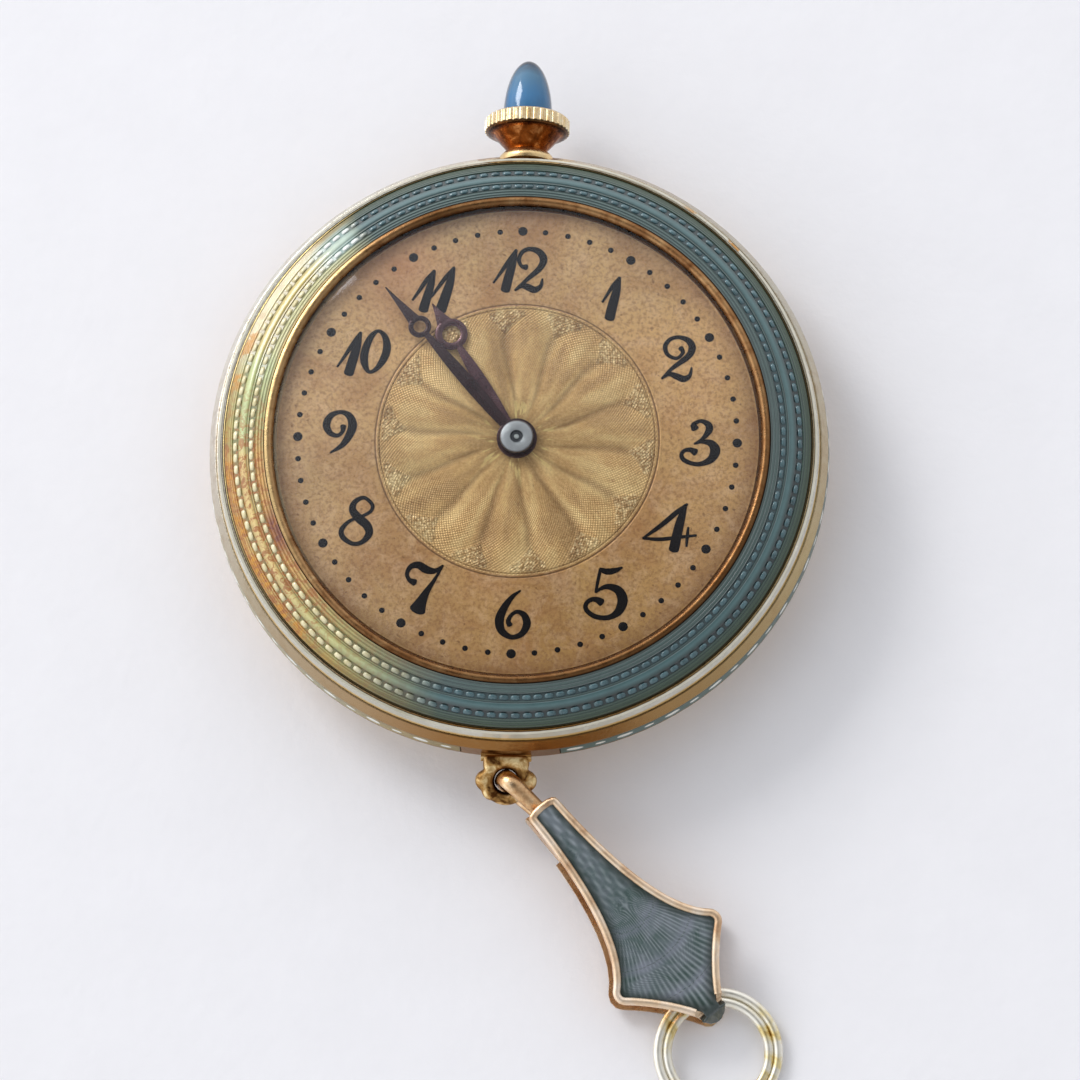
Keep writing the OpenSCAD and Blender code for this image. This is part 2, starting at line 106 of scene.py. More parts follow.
def new_finish(name, **sockets):
    """A material whose own shader has these plain values."""
    finish = bpy.data.materials.new(name)
    finish.use_nodes = True
    shader = finish.node_tree.nodes["Principled BSDF"]
    for key, value in sockets.items():
        shader.inputs[key.replace("_", " ")].default_value = value
    return finish, finish.node_tree, shader.inputs


def paint(tree, skin, colour):
    tree.links.new(colour, skin["Base Color"])


def rough_up(tree, skin, height, depth):
    """Fine relief of a depth in millimetres."""
    relief = add(tree, "Bump", {"Height": height, "Distance": depth * mm, "Strength": 1.0})
    tree.links.new(relief, skin["Normal"])


def solid(name, points, faces, finish, body, crease=35, slot=None, replaces=()):
    """Makes a mesh piece from points in millimetres and lets it ride on a body."""
    mesh = bpy.data.meshes.new(name)
    mesh.from_pydata((np.asarray(points, float) * mm).tolist(), [], [list(f) for f in faces])
    shape = bmesh.new()
    shape.from_mesh(mesh)
    bmesh.ops.remove_doubles(shape, verts=shape.verts, dist=1e-7)
    bmesh.ops.recalc_face_normals(shape, faces=shape.faces)
    shape.to_mesh(mesh)
    shape.free()
    mesh.shade_smooth()
    mesh.set_sharp_from_angle(angle=np.radians(crease))
    mesh.materials.append(finish)
    piece = bpy.data.objects.new(name, mesh)
    bpy.context.scene.collection.objects.link(piece)
    if body:
        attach(piece, body)
    if replaces:
        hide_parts(*replaces)
    return piece


lens = bpy.data.cameras.new("camera")
lens.lens, lens.sensor_width = camera_lens, camera_sensor
lens.clip_start, lens.clip_end = 0.01, 10
camera = bpy.data.objects.new("camera", lens)
bpy.context.scene.collection.objects.link(camera)
turn = np.eye(4)
turn[:3, 0], turn[:3, 1], turn[:3, 2] = camera_right, camera_up, camera_back
turn[:3, 3] = np.array(camera_at) * mm
camera.matrix_world = Matrix(turn.tolist())
bpy.context.scene.camera = camera
bpy.context.scene.view_settings.view_transform = "Standard"

room = bpy.data.worlds.new("room")
bpy.context.scene.world = room
room.use_nodes = True
sky = room.node_tree
way = add(sky, "TexCoord", out="Generated")
toward = add(sky, "VectorMath", {0: way, 1: bright_side}, out="Value", operation="DOT_PRODUCT")
sideways = ramp(sky, reckon(sky, "MULTIPLY_ADD", toward, 0.5, 0.5), [(0.0, 0.28), (0.5, 0.62), (1.0, 1.0)])
overhead = ramp(sky, add(sky, "SeparateXYZ", {0: way}, out="Z"), [(0.0, 0.80), (0.3, 0.85), (0.6, 0.80), (0.85, 0.65),
                (0.93, 0.40), (0.97, 0.16), (1.0, 0.10)])
light = blend(sky, 1.0, blend(sky, 1.0, sideways, overhead, "MULTIPLY"), (250, 252, 255), "MULTIPLY")
sky.links.new(light, sky.nodes["Background"].inputs["Color"])
sky.nodes["Background"].inputs["Strength"].default_value = room_light

lamp_data = bpy.data.lights.new("lamp", "AREA")
lamp_data.size, lamp_data.energy, lamp_data.color = lamp_wide, lamp_watts, (1.0, 0.99, 0.97)
lamp = bpy.data.objects.new("lamp", lamp_data)
bpy.context.scene.collection.objects.link(lamp)
lamp_way = lamp_from / np.linalg.norm(lamp_from)
lamp.location = lamp_way * lamp_far
lamp.rotation_euler = Vector(lamp_way).to_track_quat("Z", "Y").to_euler()

paper, tree, skin = new_finish("white_paper", Roughness=0.85)
paint(tree, skin, blend(tree, speckle(tree, 3, 5), (237, 236, 240), (243, 242, 246)))
rough_up(tree, skin, speckle(tree, 0.6, 4), 0.02)
corners = [(x * paper_half, y * paper_half, paper_z) for x, y in ((-1, -1), (1, -1), (1, 1), (-1, 1))]
floor = solid("paper", corners, [(0, 1, 2, 3)], paper, None)

# --- Case back ---
# The domed back is spun from thin yellow gold and snaps on the middle of the case. Years of lying on tables
# have left it with fine scratches that run every way.
gold_light, gold_mid, gold_deep = (248, 226, 184), (236, 204, 150), (214, 172, 116)


def mottle(tree, stops, *cloud):
    """Greys or colours laid out by cloudy noise."""
    return ramp(tree, speckle(tree, *cloud), stops)


def polish(tree, skin, low, high, *cloud):
    """Roughness that wanders between two values."""
    tree.links.new(mottle(tree, [(0.3, low), (0.7, high)], *cloud), skin["Roughness"])


def gold_finish(name, light, mid, deep, patch=1.2, rough=(0.16, 0.34), scratch=0.012):
    """Worn precious metal: cloudy colour, uneven polish and fine scratches."""
    finish, tree, skin = new_finish(name, Metallic=1.0)
    cloud = speckle(tree, patch, 5, 0.6, 0.4)
    paint(tree, skin, ramp(tree, cloud, [(0.3, deep), (0.5, mid), (0.72, light)]))
    polish(tree, skin, rough[0], rough[1], patch * 0.5, 4, 0.6)
    rough_up(tree, skin, speckle(tree, 0.18, 6, 0.7, 1.0), scratch)
    return finish


def wear(object_name, finish):
    """Gives a node of the frame this finish."""
    nodes[object_name].data.materials.clear()
    nodes[object_name].data.materials.append(finish)


gold = gold_finish("yellow_gold", gold_light, gold_mid, gold_deep)
wear("case_back", gold)

# --- Case middle ---
# The gold middle carries the enamelled side band. The winding neck is soldered on at twelve and the lobed bow
# at six. The bow is matt and mottled brown where hands never polish it. Round the case the gold carries painted
# light: near white towards the lamp at the upper left and brown shade at the bottom. The wall of the bow's hole is
# painted dark as shade.
bow_from_y, neck_over = -14.1, 15.5
bow_hole, bow_thick, bow_droop = (-0.19, -15.05, 2.2), 0.46, np.radians(20)


def own_axis(tree, axis):
    """X, Y or Z in the part's own frame."""
    return add(tree, "SeparateXYZ", {0: own_place(tree)}, out=axis)


def far_from(tree, point, unit=1):
    """The distance from a point, in millimetres or in units of so many millimetres."""
    point = tuple(v * mm for v in point)
    far = add(tree, "VectorMath", {0: own_place(tree), 1: point}, out="Value", operation="DISTANCE")
    return reckon(tree, "DIVIDE", far, unit * mm)


def angle_of(tree):
    """The angle round the dial's axis, from 0 to 1, counted from three o'clock towards twelve."""
    around = reckon(tree, "ARCTAN2", own_axis(tree, "Y"), own_axis(tree, "X"))
    return reckon(tree, "FRACT", reckon(tree, "DIVIDE", around, 2 * np.pi))


def clock(degrees):
    """A direction in degrees clockwise from twelve, as a share of a turn from three o'clock."""
    return ((90 - degrees) / 360) % 1


def by_clock(tree, around, stops):
    """A ramp round the dial, anticlockwise from three o'clock, whose places are degrees clockwise from twelve."""
    places = [clock(degrees) for degrees, _ in stops]
    places[-1] = places[-1] or 1.0
    return ramp(tree, around, [(place, shade) for place, (_, shade) in zip(places, stops)])


middle_gold, tree, skin = new_finish("middle_gold", Metallic=1.0)
towards_twelve = own_axis(tree, "Y")
at_bow = reckon(tree, "LESS_THAN", towards_twelve, bow_from_y * mm)
upper = reckon(tree, "MULTIPLY_ADD", own_axis(tree, "Z"), 0.5, towards_twelve)
at_neck = reckon(tree, "GREATER_THAN", upper, neck_over * mm)
cloud = speckle(tree, 0.5, 5, 0.6, 0.5)
# Partly the gold's own tone, partly painted light: near white towards the lamp at the upper left, painted shade brown
# at the bottom.
case_tone_and_light = by_clock(tree, angle_of(tree), [
    (90, (186, 170, 140)), (60, (196, 190, 172)), (30, (190, 180, 158)), (0, (222, 204, 178)), (330, (234, 230, 214)),
    (300, (240, 236, 224)), (270, (228, 220, 206)), (240, (190, 176, 148)), (210, (176, 148, 110)),
    (190, (150, 106, 56)), (170, (150, 106, 54)), (140, (160, 132, 88)), (110, (184, 164, 122)),
    (90, (186, 170, 140))])
case_tone_and_light = blend(tree, ramp(tree, cloud, [(0.45, 0.0), (0.75, 0.4)]), case_tone_and_light, (156, 122, 78))
mottled = ramp(tree, cloud, [(0.34, (84, 50, 22)), (0.5, (190, 146, 86)), (0.66, (250, 226, 172))])
# Painted shade: the wall of the bow's hole is dark brown.
hole_shade = ramp(tree, far_from(tree, bow_hole), [(0.62, 1.0), (0.78, 0.0)])
mottled = blend(tree, hole_shade, mottled, (58, 26, 14))
case_tone_and_light = blend(tree, at_neck, case_tone_and_light, ramp(tree, cloud, [(0.36, (150, 104, 58)), (0.6, (226, 194, 140))]))
paint(tree, skin, blend(tree, at_bow, case_tone_and_light, mottled))
tree.links.new(reckon(tree, "MULTIPLY_ADD", at_bow, 0.2, 0.25), skin["Roughness"])
rough_up(tree, skin, speckle(tree, 0.2, 5, 0.7), 0.02)
wear("case_middle", middle_gold)

bow_lobes = ((0, 0, 1.05), (0.88, 0, 0.46), (-0.88, 0, 0.46), (-0.63, -0.425, 0.42), (0.63, -0.425, 0.42))
bow_hole_r, bow_swell, bow_root = 0.52, 0.13, (1.0, 1.2)


def bow_reach(a):
    """How far the bow's outline lies from its hole's middle in one direction."""
    far = min(bow_root[0] / max(abs(np.cos(a)), 0.01), bow_root[1] / np.sin(a)) if np.sin(a) > 0.5 else 0
    for x, y, r in bow_lobes:
        along, off = x * np.cos(a) + y * np.sin(a), y * np.cos(a) - x * np.sin(a)
        if abs(off) < r and along + r > 0:
            far = max(far, along + np.sqrt(r * r - off * off))
    return far


def swung(angle, x, y):
    """A point, or a row of points, turned in its plane."""
    return x * np.cos(angle) - y * np.sin(angle), x * np.sin(angle) + y * np.cos(angle)


def woven(rows, columns, base=0, round_rows=True, round_columns=True):
    """The faces between neighbouring rows of points, counted from base. A round grid's ends meet."""
    faces = []
    for i in range(rows if round_rows else rows - 1):
        for j in range(columns if round_columns else columns - 1):
            here, there = base + i * columns, base + (i + 1) % rows * columns
            after = (j + 1) % columns
            faces.append((here + j, here + after, there + after, there + j))
    return faces


points, rounds, ways, bow_proud = [], 16, 144, 0.04
reaches = np.array([bow_reach(2 * np.pi * i / ways) for i in range(ways)])
for _ in range(3):
    reaches = (np.roll(reaches, 1) + 2 * reaches + np.roll(reaches, -1)) / 4
for i, far in enumerate(reaches):
    a = 2 * np.pi * i / ways
    mid, half = (far + bow_proud + bow_hole_r) / 2, (far + bow_proud - bow_hole_r) / 2
    for s in range(rounds):
        b = 2 * np.pi * s / rounds
        r = mid + half * np.sign(np.cos(b)) * abs(np.cos(b)) ** 0.7
        h = (bow_thick / 2 + bow_swell) * np.sign(np.sin(b)) * abs(np.sin(b)) ** 0.8
        along, up = swung(bow_droop, r * np.sin(a), h)
        points.append((bow_hole[0] + r * np.cos(a), bow_hole[1] + along, bow_hole[2] + up))
solid("bow_body", points, woven(ways, rounds), middle_gold, "watch", slot="gold")


def turned(name, profile, finish, body, steps=256, relief=None, centre=None, crease=35, **kept):
    """Spins a closed profile of radius and height round the dial's axis, or round the crown's."""
    profile = np.array(profile, float)
    a = np.linspace(0, 2 * np.pi, steps, endpoint=False)[:, None]
    r = np.repeat(profile[None, :, 0], steps, 0)
    h = np.repeat(profile[None, :, 1], steps, 0)
    if relief:
        h = h + relief(r, h, a)
    points = np.stack([r * np.cos(a), r * np.sin(a), h], -1)
    if centre is not None:
        points = np.stack([points[..., 0], h, points[..., 1] + centre], -1)
    return solid(name, points.reshape(-1, 3), woven(steps, len(profile)), finish, body, crease, **kept)


crown_z = 3.27
turned("neck_collar", [(0.8, 13.62), (1.26, 13.62), (1.29, 13.72), (1.27, 13.84), (1.21, 13.95), (1.12, 14.05),
                       (1.01, 14.13), (0.9, 14.165), (0.8, 14.165)],
       gold, "watch", steps=96, centre=crown_z, slot="gold")

# --- Side band enamel ---
# Green and blue glass is fired into the channel of the side band, flush with the gold. On it stand short white
# strokes, large and small in turn, each a drop of opaque enamel laid with a quill.
band_r, band_low, band_high = 14.0, 2.68, 3.33
stroke_count, stroke_clear = 76, 9.6
large_stroke, small_stroke, stroke_rise = (1.75, 0.19), (1.15, 0.13), 0.035
band_lean = 0.09

band_glass, tree, skin = new_finish("band_enamel", Roughness=0.35, Specular_IOR_Level=0.25, Coat_Weight=0.25,
                                    Coat_Roughness=0.1)
around = angle_of(tree)
hue = by_clock(tree, around, [
    (90, (70, 98, 88)), (330, (84, 118, 104)), (300, (150, 150, 110)), (255, (178, 166, 126)), (215, (168, 156, 110)),
    (200, (176, 148, 78)), (180, (130, 110, 60)), (170, (70, 98, 88)), (90, (70, 98, 88))])
paint(tree, skin, blend(tree, speckle(tree, 0.5, 4), hue, blend(tree, 0.5, hue, (40, 62, 58))))
rough_up(tree, skin, speckle(tree, 0.3, 3), 0.01)
for half in ("band_enamel_left", "band_enamel_right"):
    wear(half, band_glass)

stroke_white, tree, skin = new_finish("white_stroke", Coat_Weight=1.0, Coat_Roughness=0.08)
paint(tree, skin, blend(tree, speckle(tree, 0.2, 3), (250, 250, 242), (222, 224, 214)))
polish(tree, skin, 0.25, 0.45, 0.3)


def drops(centres, shape, rows=4, sides=12):
    """Low rounded drops. shape(k, u, v, w) places the unit drop u, v, w of centre number k."""
    points, faces = [], []
    for k in range(len(centres)):
        base = len(points)
        for i in range(rows):
            lift = np.pi / 2 * i / rows
            for s in range(sides):
                a = 2 * np.pi * s / sides
                points.append(shape(k, np.cos(lift) * np.cos(a), np.cos(lift) * np.sin(a), np.sin(lift)))
        points.append(shape(k, 0, 0, 1))
        faces += woven(rows, sides, base, round_rows=False)
        last, top = base + (rows - 1) * sides, base + rows * sides
        faces += [(last + s, last + (s + 1) % sides, top) for s in range(sides)]
    return points, faces


stroke_angles = [a for a in (360 * (k + 0.5) / stroke_count for k in range(stroke_count))
                 if min(abs(a - 90), abs(a - 270)) > stroke_clear]


def stroke_shape(k, u, v, w):
    half, tall = large_stroke if k % 2 else small_stroke
    a = np.radians(stroke_angles[k]) + u * np.radians(half)
    z = (band_low + band_high) / 2 + v * tall
    r = band_r + 0.02 - (z - band_low) * band_lean + w * stroke_rise
    return r * np.cos(a), r * np.sin(a), z


solid("band_strokes", *drops(stroke_angles, stroke_shape), stroke_white, "watch", slot="white_enamel")

# --- Movement ---
# Two plain steel plates under the dial stand in for the hidden works. They carry the dial and the hands' post.
# Like the stem and its pinion they are grained in one direction by the finishing wheel.
grain_per_metre = (400, 9000, 9000)
steel, tree, skin = new_finish("grained_steel", Metallic=1.0)
drawn_out = add(tree, "VectorMath", {0: own_place(tree), 1: grain_per_metre}, operation="MULTIPLY")
grain = add(tree, "TexNoise", {"Vector": drawn_out, "Scale": 1.0, "Detail": 4.0})
paint(tree, skin, ramp(tree, grain, [(0.3, (120, 120, 126)), (0.7, (186, 186, 192))]))
tree.links.new(ramp(tree, grain, [(0.3, 0.28), (0.7, 0.45)]), skin["Roughness"])
rough_up(tree, skin, grain, 0.006)
for name in ("movement", "stem", "winding_pinion"):
    wear(name, steel)

# --- Dial ---
# The dial is a brass disc, silvered and gilt, now mottled and foxed by age. Its middle is engine-turned with
# fourteen broad rays inside a double ring, with stippled corners between the rays' tips. Its colour also holds
# painted light: shade under the bezel's lip and in the creases between the rays, and a sheen and glints on the rays.
dial_z, dial_under, dial_r, dial_hole = 4.8, 4.47, 11.0, 0.7
ray_count, ray_end, ring_at = 14, 5.95, 6.28
ray_depth, ray_turn, ray_waver = 0.115, 0.11, 0.035
ring_half, ring_cut = 0.09, 0.03
stained_at, dial_half = (-5.4, 7.9, dial_z), 12


def ray_wave(r, a):
    """1 on a ray's crest, 0 in the crease between two rays, which wavers a little as it runs out."""
    bend = ray_waver * np.sin(r * 1.1)
    return (np.sin(ray_count / 2 * (a + bend + ray_turn)) ** 2 + 0.01) ** 0.44


def dial_relief(r, h, a):
    top = h > dial_z - 0.01
    wave = ray_wave(r, a)
    tip = ray_end - 0.6 * (1 - wave) ** 2
    inside = np.clip((tip - r) / 0.5, 0, 1)
    grow = np.clip((r - dial_hole) / 2.2, 0, 1) ** 0.7
    rays = ray_depth * (wave - 0.75) * inside * grow
    ring = -ring_cut * (np.abs(np.abs(r - ring_at) - ring_half) < ring_cut)
    return np.where(top, rays + ring - 0.01, 0)


def mark(piece, **values):
    """Gives each point of a piece these values from 0 to 1, for its finish to read."""
    for key, value in values.items():
        layer = piece.data.attributes.new(key, "FLOAT", "POINT")
        layer.data.foreach_set("value", value.astype(np.float32))


def marked(tree, key):
    return add(tree, "Attribute", out="Fac", attribute_name=key)


def radius_of(tree):
    """The distance from the dial's axis, in millimetres."""
    flat = add(tree, "VectorMath", {0: own_place(tree), 1: (1 / mm, 1 / mm, 0)}, operation="MULTIPLY")
    return add(tree, "VectorMath", {0: flat}, out="Value", operation="LENGTH")


def past(tree, measure, start, stops):
    """Greys over the first millimetre past a start, along a measure in millimetres."""
    return ramp(tree, reckon(tree, "SUBTRACT", measure, start), stops)


def times(tree, first, *others):
    for other in others:
        first = reckon(tree, "MULTIPLY", first, other)
    return first


dial_finish, tree, skin = new_finish("gilt_dial_aged_and_painted_light", Metallic=0.4)
high, side = (reckon(tree, "MULTIPLY_ADD", own_axis(tree, axis), 1 / (2 * dial_half * mm), 0.5) for axis in "YX")
# Darker towards the bottom and paler on the left.
dial_age_and_light = ramp(tree, high, [(0.0, (188, 138, 70)), (0.3, (214, 164, 100)), (0.7, (224, 176, 114)),
                         (1.0, (228, 182, 124))])
dial_age_and_light = blend(tree, ramp(tree, side, [(0.1, 0.3), (0.6, 0.0)]), dial_age_and_light, (216, 182, 138))
dial_age_and_light = blend(tree, mottle(tree, [(0.42, 0.0), (0.7, 0.7)], 3.2, 6, 0.62, 0.6), dial_age_and_light, (176, 116, 66))
dial_age_and_light = blend(tree, mottle(tree, [(0.46, 0.0), (0.66, 0.5)], 1.0, 5, 0.7, 0.8), dial_age_and_light, (236, 192, 146))
dial_age_and_light = blend(tree, mottle(tree, [(0.38, 0.55), (0.54, 0.0)], 0.17, 4, 0.7), dial_age_and_light, (150, 102, 58))
radius = radius_of(tree)
middle = mottle(tree, [(0.3, (196, 150, 90)), (0.7, (228, 184, 122))], 1.4, 5, 0.6, 0.5)
in_ring = reckon(tree, "LESS_THAN", radius, ring_at)
dial_age_and_light = blend(tree, in_ring, dial_age_and_light, middle)
fox = reckon(tree, "GREATER_THAN", speckle(tree, 0.32, 2, 0.5), 0.70)
dial_age_and_light = blend(tree, times(tree, fox, 0.5), dial_age_and_light, (112, 66, 34))
# Painted shade: a darker band round the dial's edge, under the bezel's lip.
edge = past(tree, radius, 10.0, [(0.0, 0.0), (0.7, 0.35), (0.8, 0.0)])
dial_age_and_light = blend(tree, edge, dial_age_and_light, (128, 80, 48))
rim = past(tree, radius, 10.0, [(0.80, 0.0), (0.84, 1.0), (0.90, 1.0), (0.93, 0.0)])
dial_age_and_light = blend(tree, rim, dial_age_and_light, (240, 222, 176))
from_ring = reckon(tree, "ABSOLUTE", reckon(tree, "SUBTRACT", radius, ring_at))
groove = reckon(tree, "COMPARE", from_ring, ring_half, 0.035)
dial_age_and_light = blend(tree, times(tree, groove, 0.7), dial_age_and_light, (96, 64, 30))
stained = ramp(tree, far_from(tree, stained_at, 4), [(0.1, 0.4), (0.7, 0.0)])
dial_age_and_light = blend(tree, stained, dial_age_and_light, (192, 116, 74))
stipple = add(tree, "TexVoronoi", {"Vector": own_place(tree), "Scale": 1 / (0.14 * mm)})
mask = marked(tree, "stipple")
pricked = ramp(tree, stipple, [(0.28, (255, 228, 174)), (0.6, (126, 92, 50))])
dial_age_and_light = blend(tree, times(tree, mask, 0.8), dial_age_and_light, pricked)
# Painted sheen: the middle's rays are made lighter or darker one by one, as cut rays catch the light.
ray_sheen = add(tree, "CombineXYZ", {0: times(tree, angle_of(tree), 26), 1: times(tree, radius, 0.35)})
ray_sheen = add(tree, "TexNoise", {"Vector": ray_sheen, "Scale": 1.0, "Detail": 3.0})
ray_sheen = ramp(tree, ray_sheen, [(0.38, (136, 90, 44)), (0.5, (206, 158, 94)), (0.62, (255, 218, 150))])
dial_age_and_light = blend(tree, times(tree, in_ring, 0.42), dial_age_and_light, ray_sheen)
grit = mottle(tree, [(0.4, (132, 92, 48)), (0.6, (246, 208, 146))], 0.12, 5, 0.75)
dial_age_and_light = blend(tree, times(tree, in_ring, 0.22), dial_age_and_light, grit)
# Painted highlights: small bright glints on the rays near the middle.
glint_place = add(tree, "CombineXYZ", {0: times(tree, angle_of(tree), 40), 1: radius})
glint = add(tree, "TexNoise", {"Vector": glint_place, "Scale": 1.0, "Detail": 2.0})
near_middle = ramp(tree, times(tree, radius, 0.1), [(0.10, 1.0), (0.24, 0.0)])
glint = times(tree, ramp(tree, glint, [(0.57, 0.0), (0.62, 0.85)]), near_middle)
dial_age_and_light = blend(tree, glint, dial_age_and_light, (255, 228, 150))
# Painted shade in the creases between the rays.
dial_age_and_light = blend(tree, times(tree, marked(tree, "valley"), 0.6), dial_age_and_light, (112, 76, 38))
paint(tree, skin, dial_age_and_light)
tree.links.new(reckon(tree, "MULTIPLY_ADD", in_ring, -0.14, 0.5), skin["Roughness"])
fine = times(tree, stipple, mask, 1.8)
cut = reckon(tree, "SINE", times(tree, radius, 2 * np.pi / 0.15))
crossing = reckon(tree, "SINE", times(tree, angle_of(tree), 2 * np.pi * 15 * ray_count))
cut = times(tree, cut, crossing, in_ring, 0.5)
height = reckon(tree, "ADD", reckon(tree, "ADD", fine, cut), speckle(tree, 0.25, 5, 0.7))
rough_up(tree, skin, height, 0.022)

top_r = np.concatenate([np.linspace(dial_hole, 5.0, 44), np.linspace(5.06, 6.6, 46), np.linspace(6.8, dial_r, 20)])
dial = turned("dial_disc", [(r, dial_z) for r in top_r] + [(dial_r, dial_under), (dial_hole, dial_under)],
              dial_finish, "watch", steps=ray_count * 36, relief=dial_relief, slot="dial", replaces=("dial",),
              crease=60)
spot = np.array([v.co for v in dial.data.vertices]) / mm
spot_r, spot_a = np.hypot(spot[:, 0], spot[:, 1]), np.arctan2(spot[:, 1], spot[:, 0])
wave = ray_wave(spot_r, spot_a)
corner = (spot_r > ray_end - 1.1 * np.clip(1 - wave, 0, 1) ** 1.2) & (spot_r < ring_at - 0.18) & (wave < 0.84)
# Points in the creases between the rays, which get the painted shade.
deep = np.clip(1 - wave / 0.5, 0, 1) * np.clip((ray_end - 0.3 - spot_r) / 0.8, 0, 1) * np.clip(spot_r - 1.2, 0, 1)
mark(dial, stipple=corner, valley=deep)

# --- Numerals and minute dots ---
# The hours are painted on the dial in thick black enamel with a pointed brush, with hairline upstrokes, fat
# stems and ball ends. Sixty domed dots mark the minutes, larger at each fifth.
ink_z, ink_lift = dial_z - 0.02, 0.055
brush_scale, brush_middle = 152, 205
numeral_at = {12: (-0.02, 8.03), 1: (4.08, 6.76), 2: (7.15, 3.92), 3: (8.11, 0.0), 4: (6.98, -4.0),
              5: (4.06, -6.99), 6: (0.05, -8.11), 7: (-4.03, -6.85), 8: (-7.03, -3.9), 9: (-7.99, 0.27),
              10: (-6.91, 3.95), 11: (-3.97, 6.83)}
brush = {
    1: [[(145, 238, 8), (180, 180, 14), (215, 125, 22), (258, 68, 14)],
        [(258, 66, 16), (240, 160, 46), (215, 260, 58), (196, 350, 60)]],
    2: [[(222, 132, 30), (236, 165, 18), (195, 204, 16), (134, 180, 20), (115, 122, 24), (148, 74, 20),
         (210, 58, 20), (275, 82, 34), (300, 130, 42), (272, 190, 34), (170, 270, 20), (95, 345, 6)],
        [(95, 345, 8), (145, 314, 22), (195, 328, 36), (245, 345, 38), (285, 322, 20), (298, 268, 6)]],
    3: [[(182, 110, 46), (172, 84, 26), (218, 58, 18), (266, 76, 34), (281, 108, 42), (262, 148, 30),
         (225, 188, 14), (180, 214, 6)],
        [(180, 214, 6), (232, 200, 18), (292, 210, 42), (322, 258, 60), (295, 318, 44), (230, 350, 26),
         (170, 350, 22), (110, 325, 24), (93, 290, 20), (114, 262, 18), (152, 256, 26), (188, 272, 44)]],
    4: [[(310, 40, 10), (240, 96, 26), (140, 182, 24), (15, 275, 8)],
        [(15, 275, 10), (130, 280, 18), (260, 264, 16), (375, 250, 8)],
        [(298, 48, 18), (270, 140, 46), (246, 240, 56), (225, 350, 60)],
        [(320, 198, 8), (314, 260, 14), (310, 324, 8)]],
    5: [[(172, 48, 14), (215, 64, 34), (270, 58, 30), (322, 36, 6)],
        [(175, 55, 14), (160, 130, 14), (148, 205, 10)],
        [(148, 205, 8), (185, 178, 18), (235, 166, 32), (300, 190, 50), (330, 252, 60), (310, 322, 50),
         (265, 362, 32), (210, 376, 26), (140, 365, 26), (88, 325, 24), (84, 285, 22), (115, 256, 22),
         (152, 254, 30), (188, 272, 46)]],
    6: [[(248, 38, 4), (195, 80, 22), (145, 150, 40), (112, 235, 52), (130, 310, 42), (195, 350, 26),
         (262, 330, 32), (298, 265, 44), (280, 205, 36), (232, 180, 20), (190, 205, 18), (172, 245, 24),
         (184, 270, 30)]],
    7: [[(152, 180, 40), (114, 160, 22), (98, 118, 20), (125, 72, 28), (175, 62, 42), (230, 92, 46),
         (290, 98, 26), (340, 62, 6)],
        [(340, 62, 6), (285, 160, 16), (235, 240, 36), (200, 310, 66), (178, 362, 100)]],
    8: [[(302, 92, 18), (245, 44, 18), (182, 74, 28), (170, 130, 42), (215, 185, 52), (270, 232, 50),
         (286, 288, 42), (240, 346, 24), (175, 356, 22), (110, 314, 28), (100, 262, 26), (150, 205, 16),
         (230, 172, 14), (290, 138, 16), (302, 92, 18)]],
    9: [[(230, 168, 34), (224, 208, 20), (190, 234, 20), (140, 215, 32), (114, 160, 44), (140, 100, 34),
         (205, 72, 20), (265, 95, 38), (292, 155, 52), (275, 225, 46), (225, 300, 28), (148, 352, 4)]],
    10: [[(8, 300, 6), (60, 220, 16), (110, 140, 24), (158, 62, 12)],
         [(160, 60, 14), (138, 160, 46), (112, 255, 56), (88, 345, 58)],
         [(344, 170, 46), (330, 90, 34), (282, 48, 16), (232, 90, 34), (196, 180, 46), (192, 260, 44),
          (222, 328, 20), (268, 318, 22), (320, 250, 42), (344, 170, 46)]],
    11: [[(62, 252, 8), (110, 180, 18), (155, 110, 24), (203, 47, 10)],
         [(205, 44, 14), (185, 140, 42), (160, 235, 52), (138, 320, 58)],
         [(192, 228, 8), (240, 155, 18), (290, 85, 22), (338, 22, 10)],
         [(340, 20, 14), (318, 120, 46), (288, 225, 60), (258, 320, 66)]],
    12: [[(15, 300, 6), (65, 225, 16), (118, 145, 24), (163, 72, 12)],
         [(165, 68, 14), (142, 165, 44), (118, 260, 54), (98, 350, 56)],
         [(240, 188, 34), (206, 180, 18), (186, 135, 20), (210, 80, 22), (262, 60, 24), (325, 80, 38),
          (356, 132, 44), (330, 195, 34), (250, 270, 22), (165, 350, 6)],
         [(165, 350, 8), (210, 318, 26), (255, 328, 40), (300, 345, 38), (340, 320, 22), (352, 268, 6)]],
}


def smooth_line(marks, per_span=8, closed=False):
    """A smooth line through the marks, each a point with its width."""
    marks = np.array(marks, float)
    if closed:
        padded = np.vstack([marks[-2], marks, marks[1]])
    else:
        padded = np.vstack([2 * marks[0] - marks[1], marks, 2 * marks[-1] - marks[-2]])
    line = []
    for i in range(1, len(padded) - 2):
        p0, p1, p2, p3 = padded[i - 1:i + 3]
        for t in np.arange(per_span) / per_span:
            line.append(0.5 * (2 * p1 + (p2 - p0) * t + (2 * p0 - 5 * p1 + 4 * p2 - p3) * t ** 2
                               + (3 * p1 - p0 - 3 * p2 + p3) * t ** 3))
    line.append(padded[-2])
    return np.array(line)


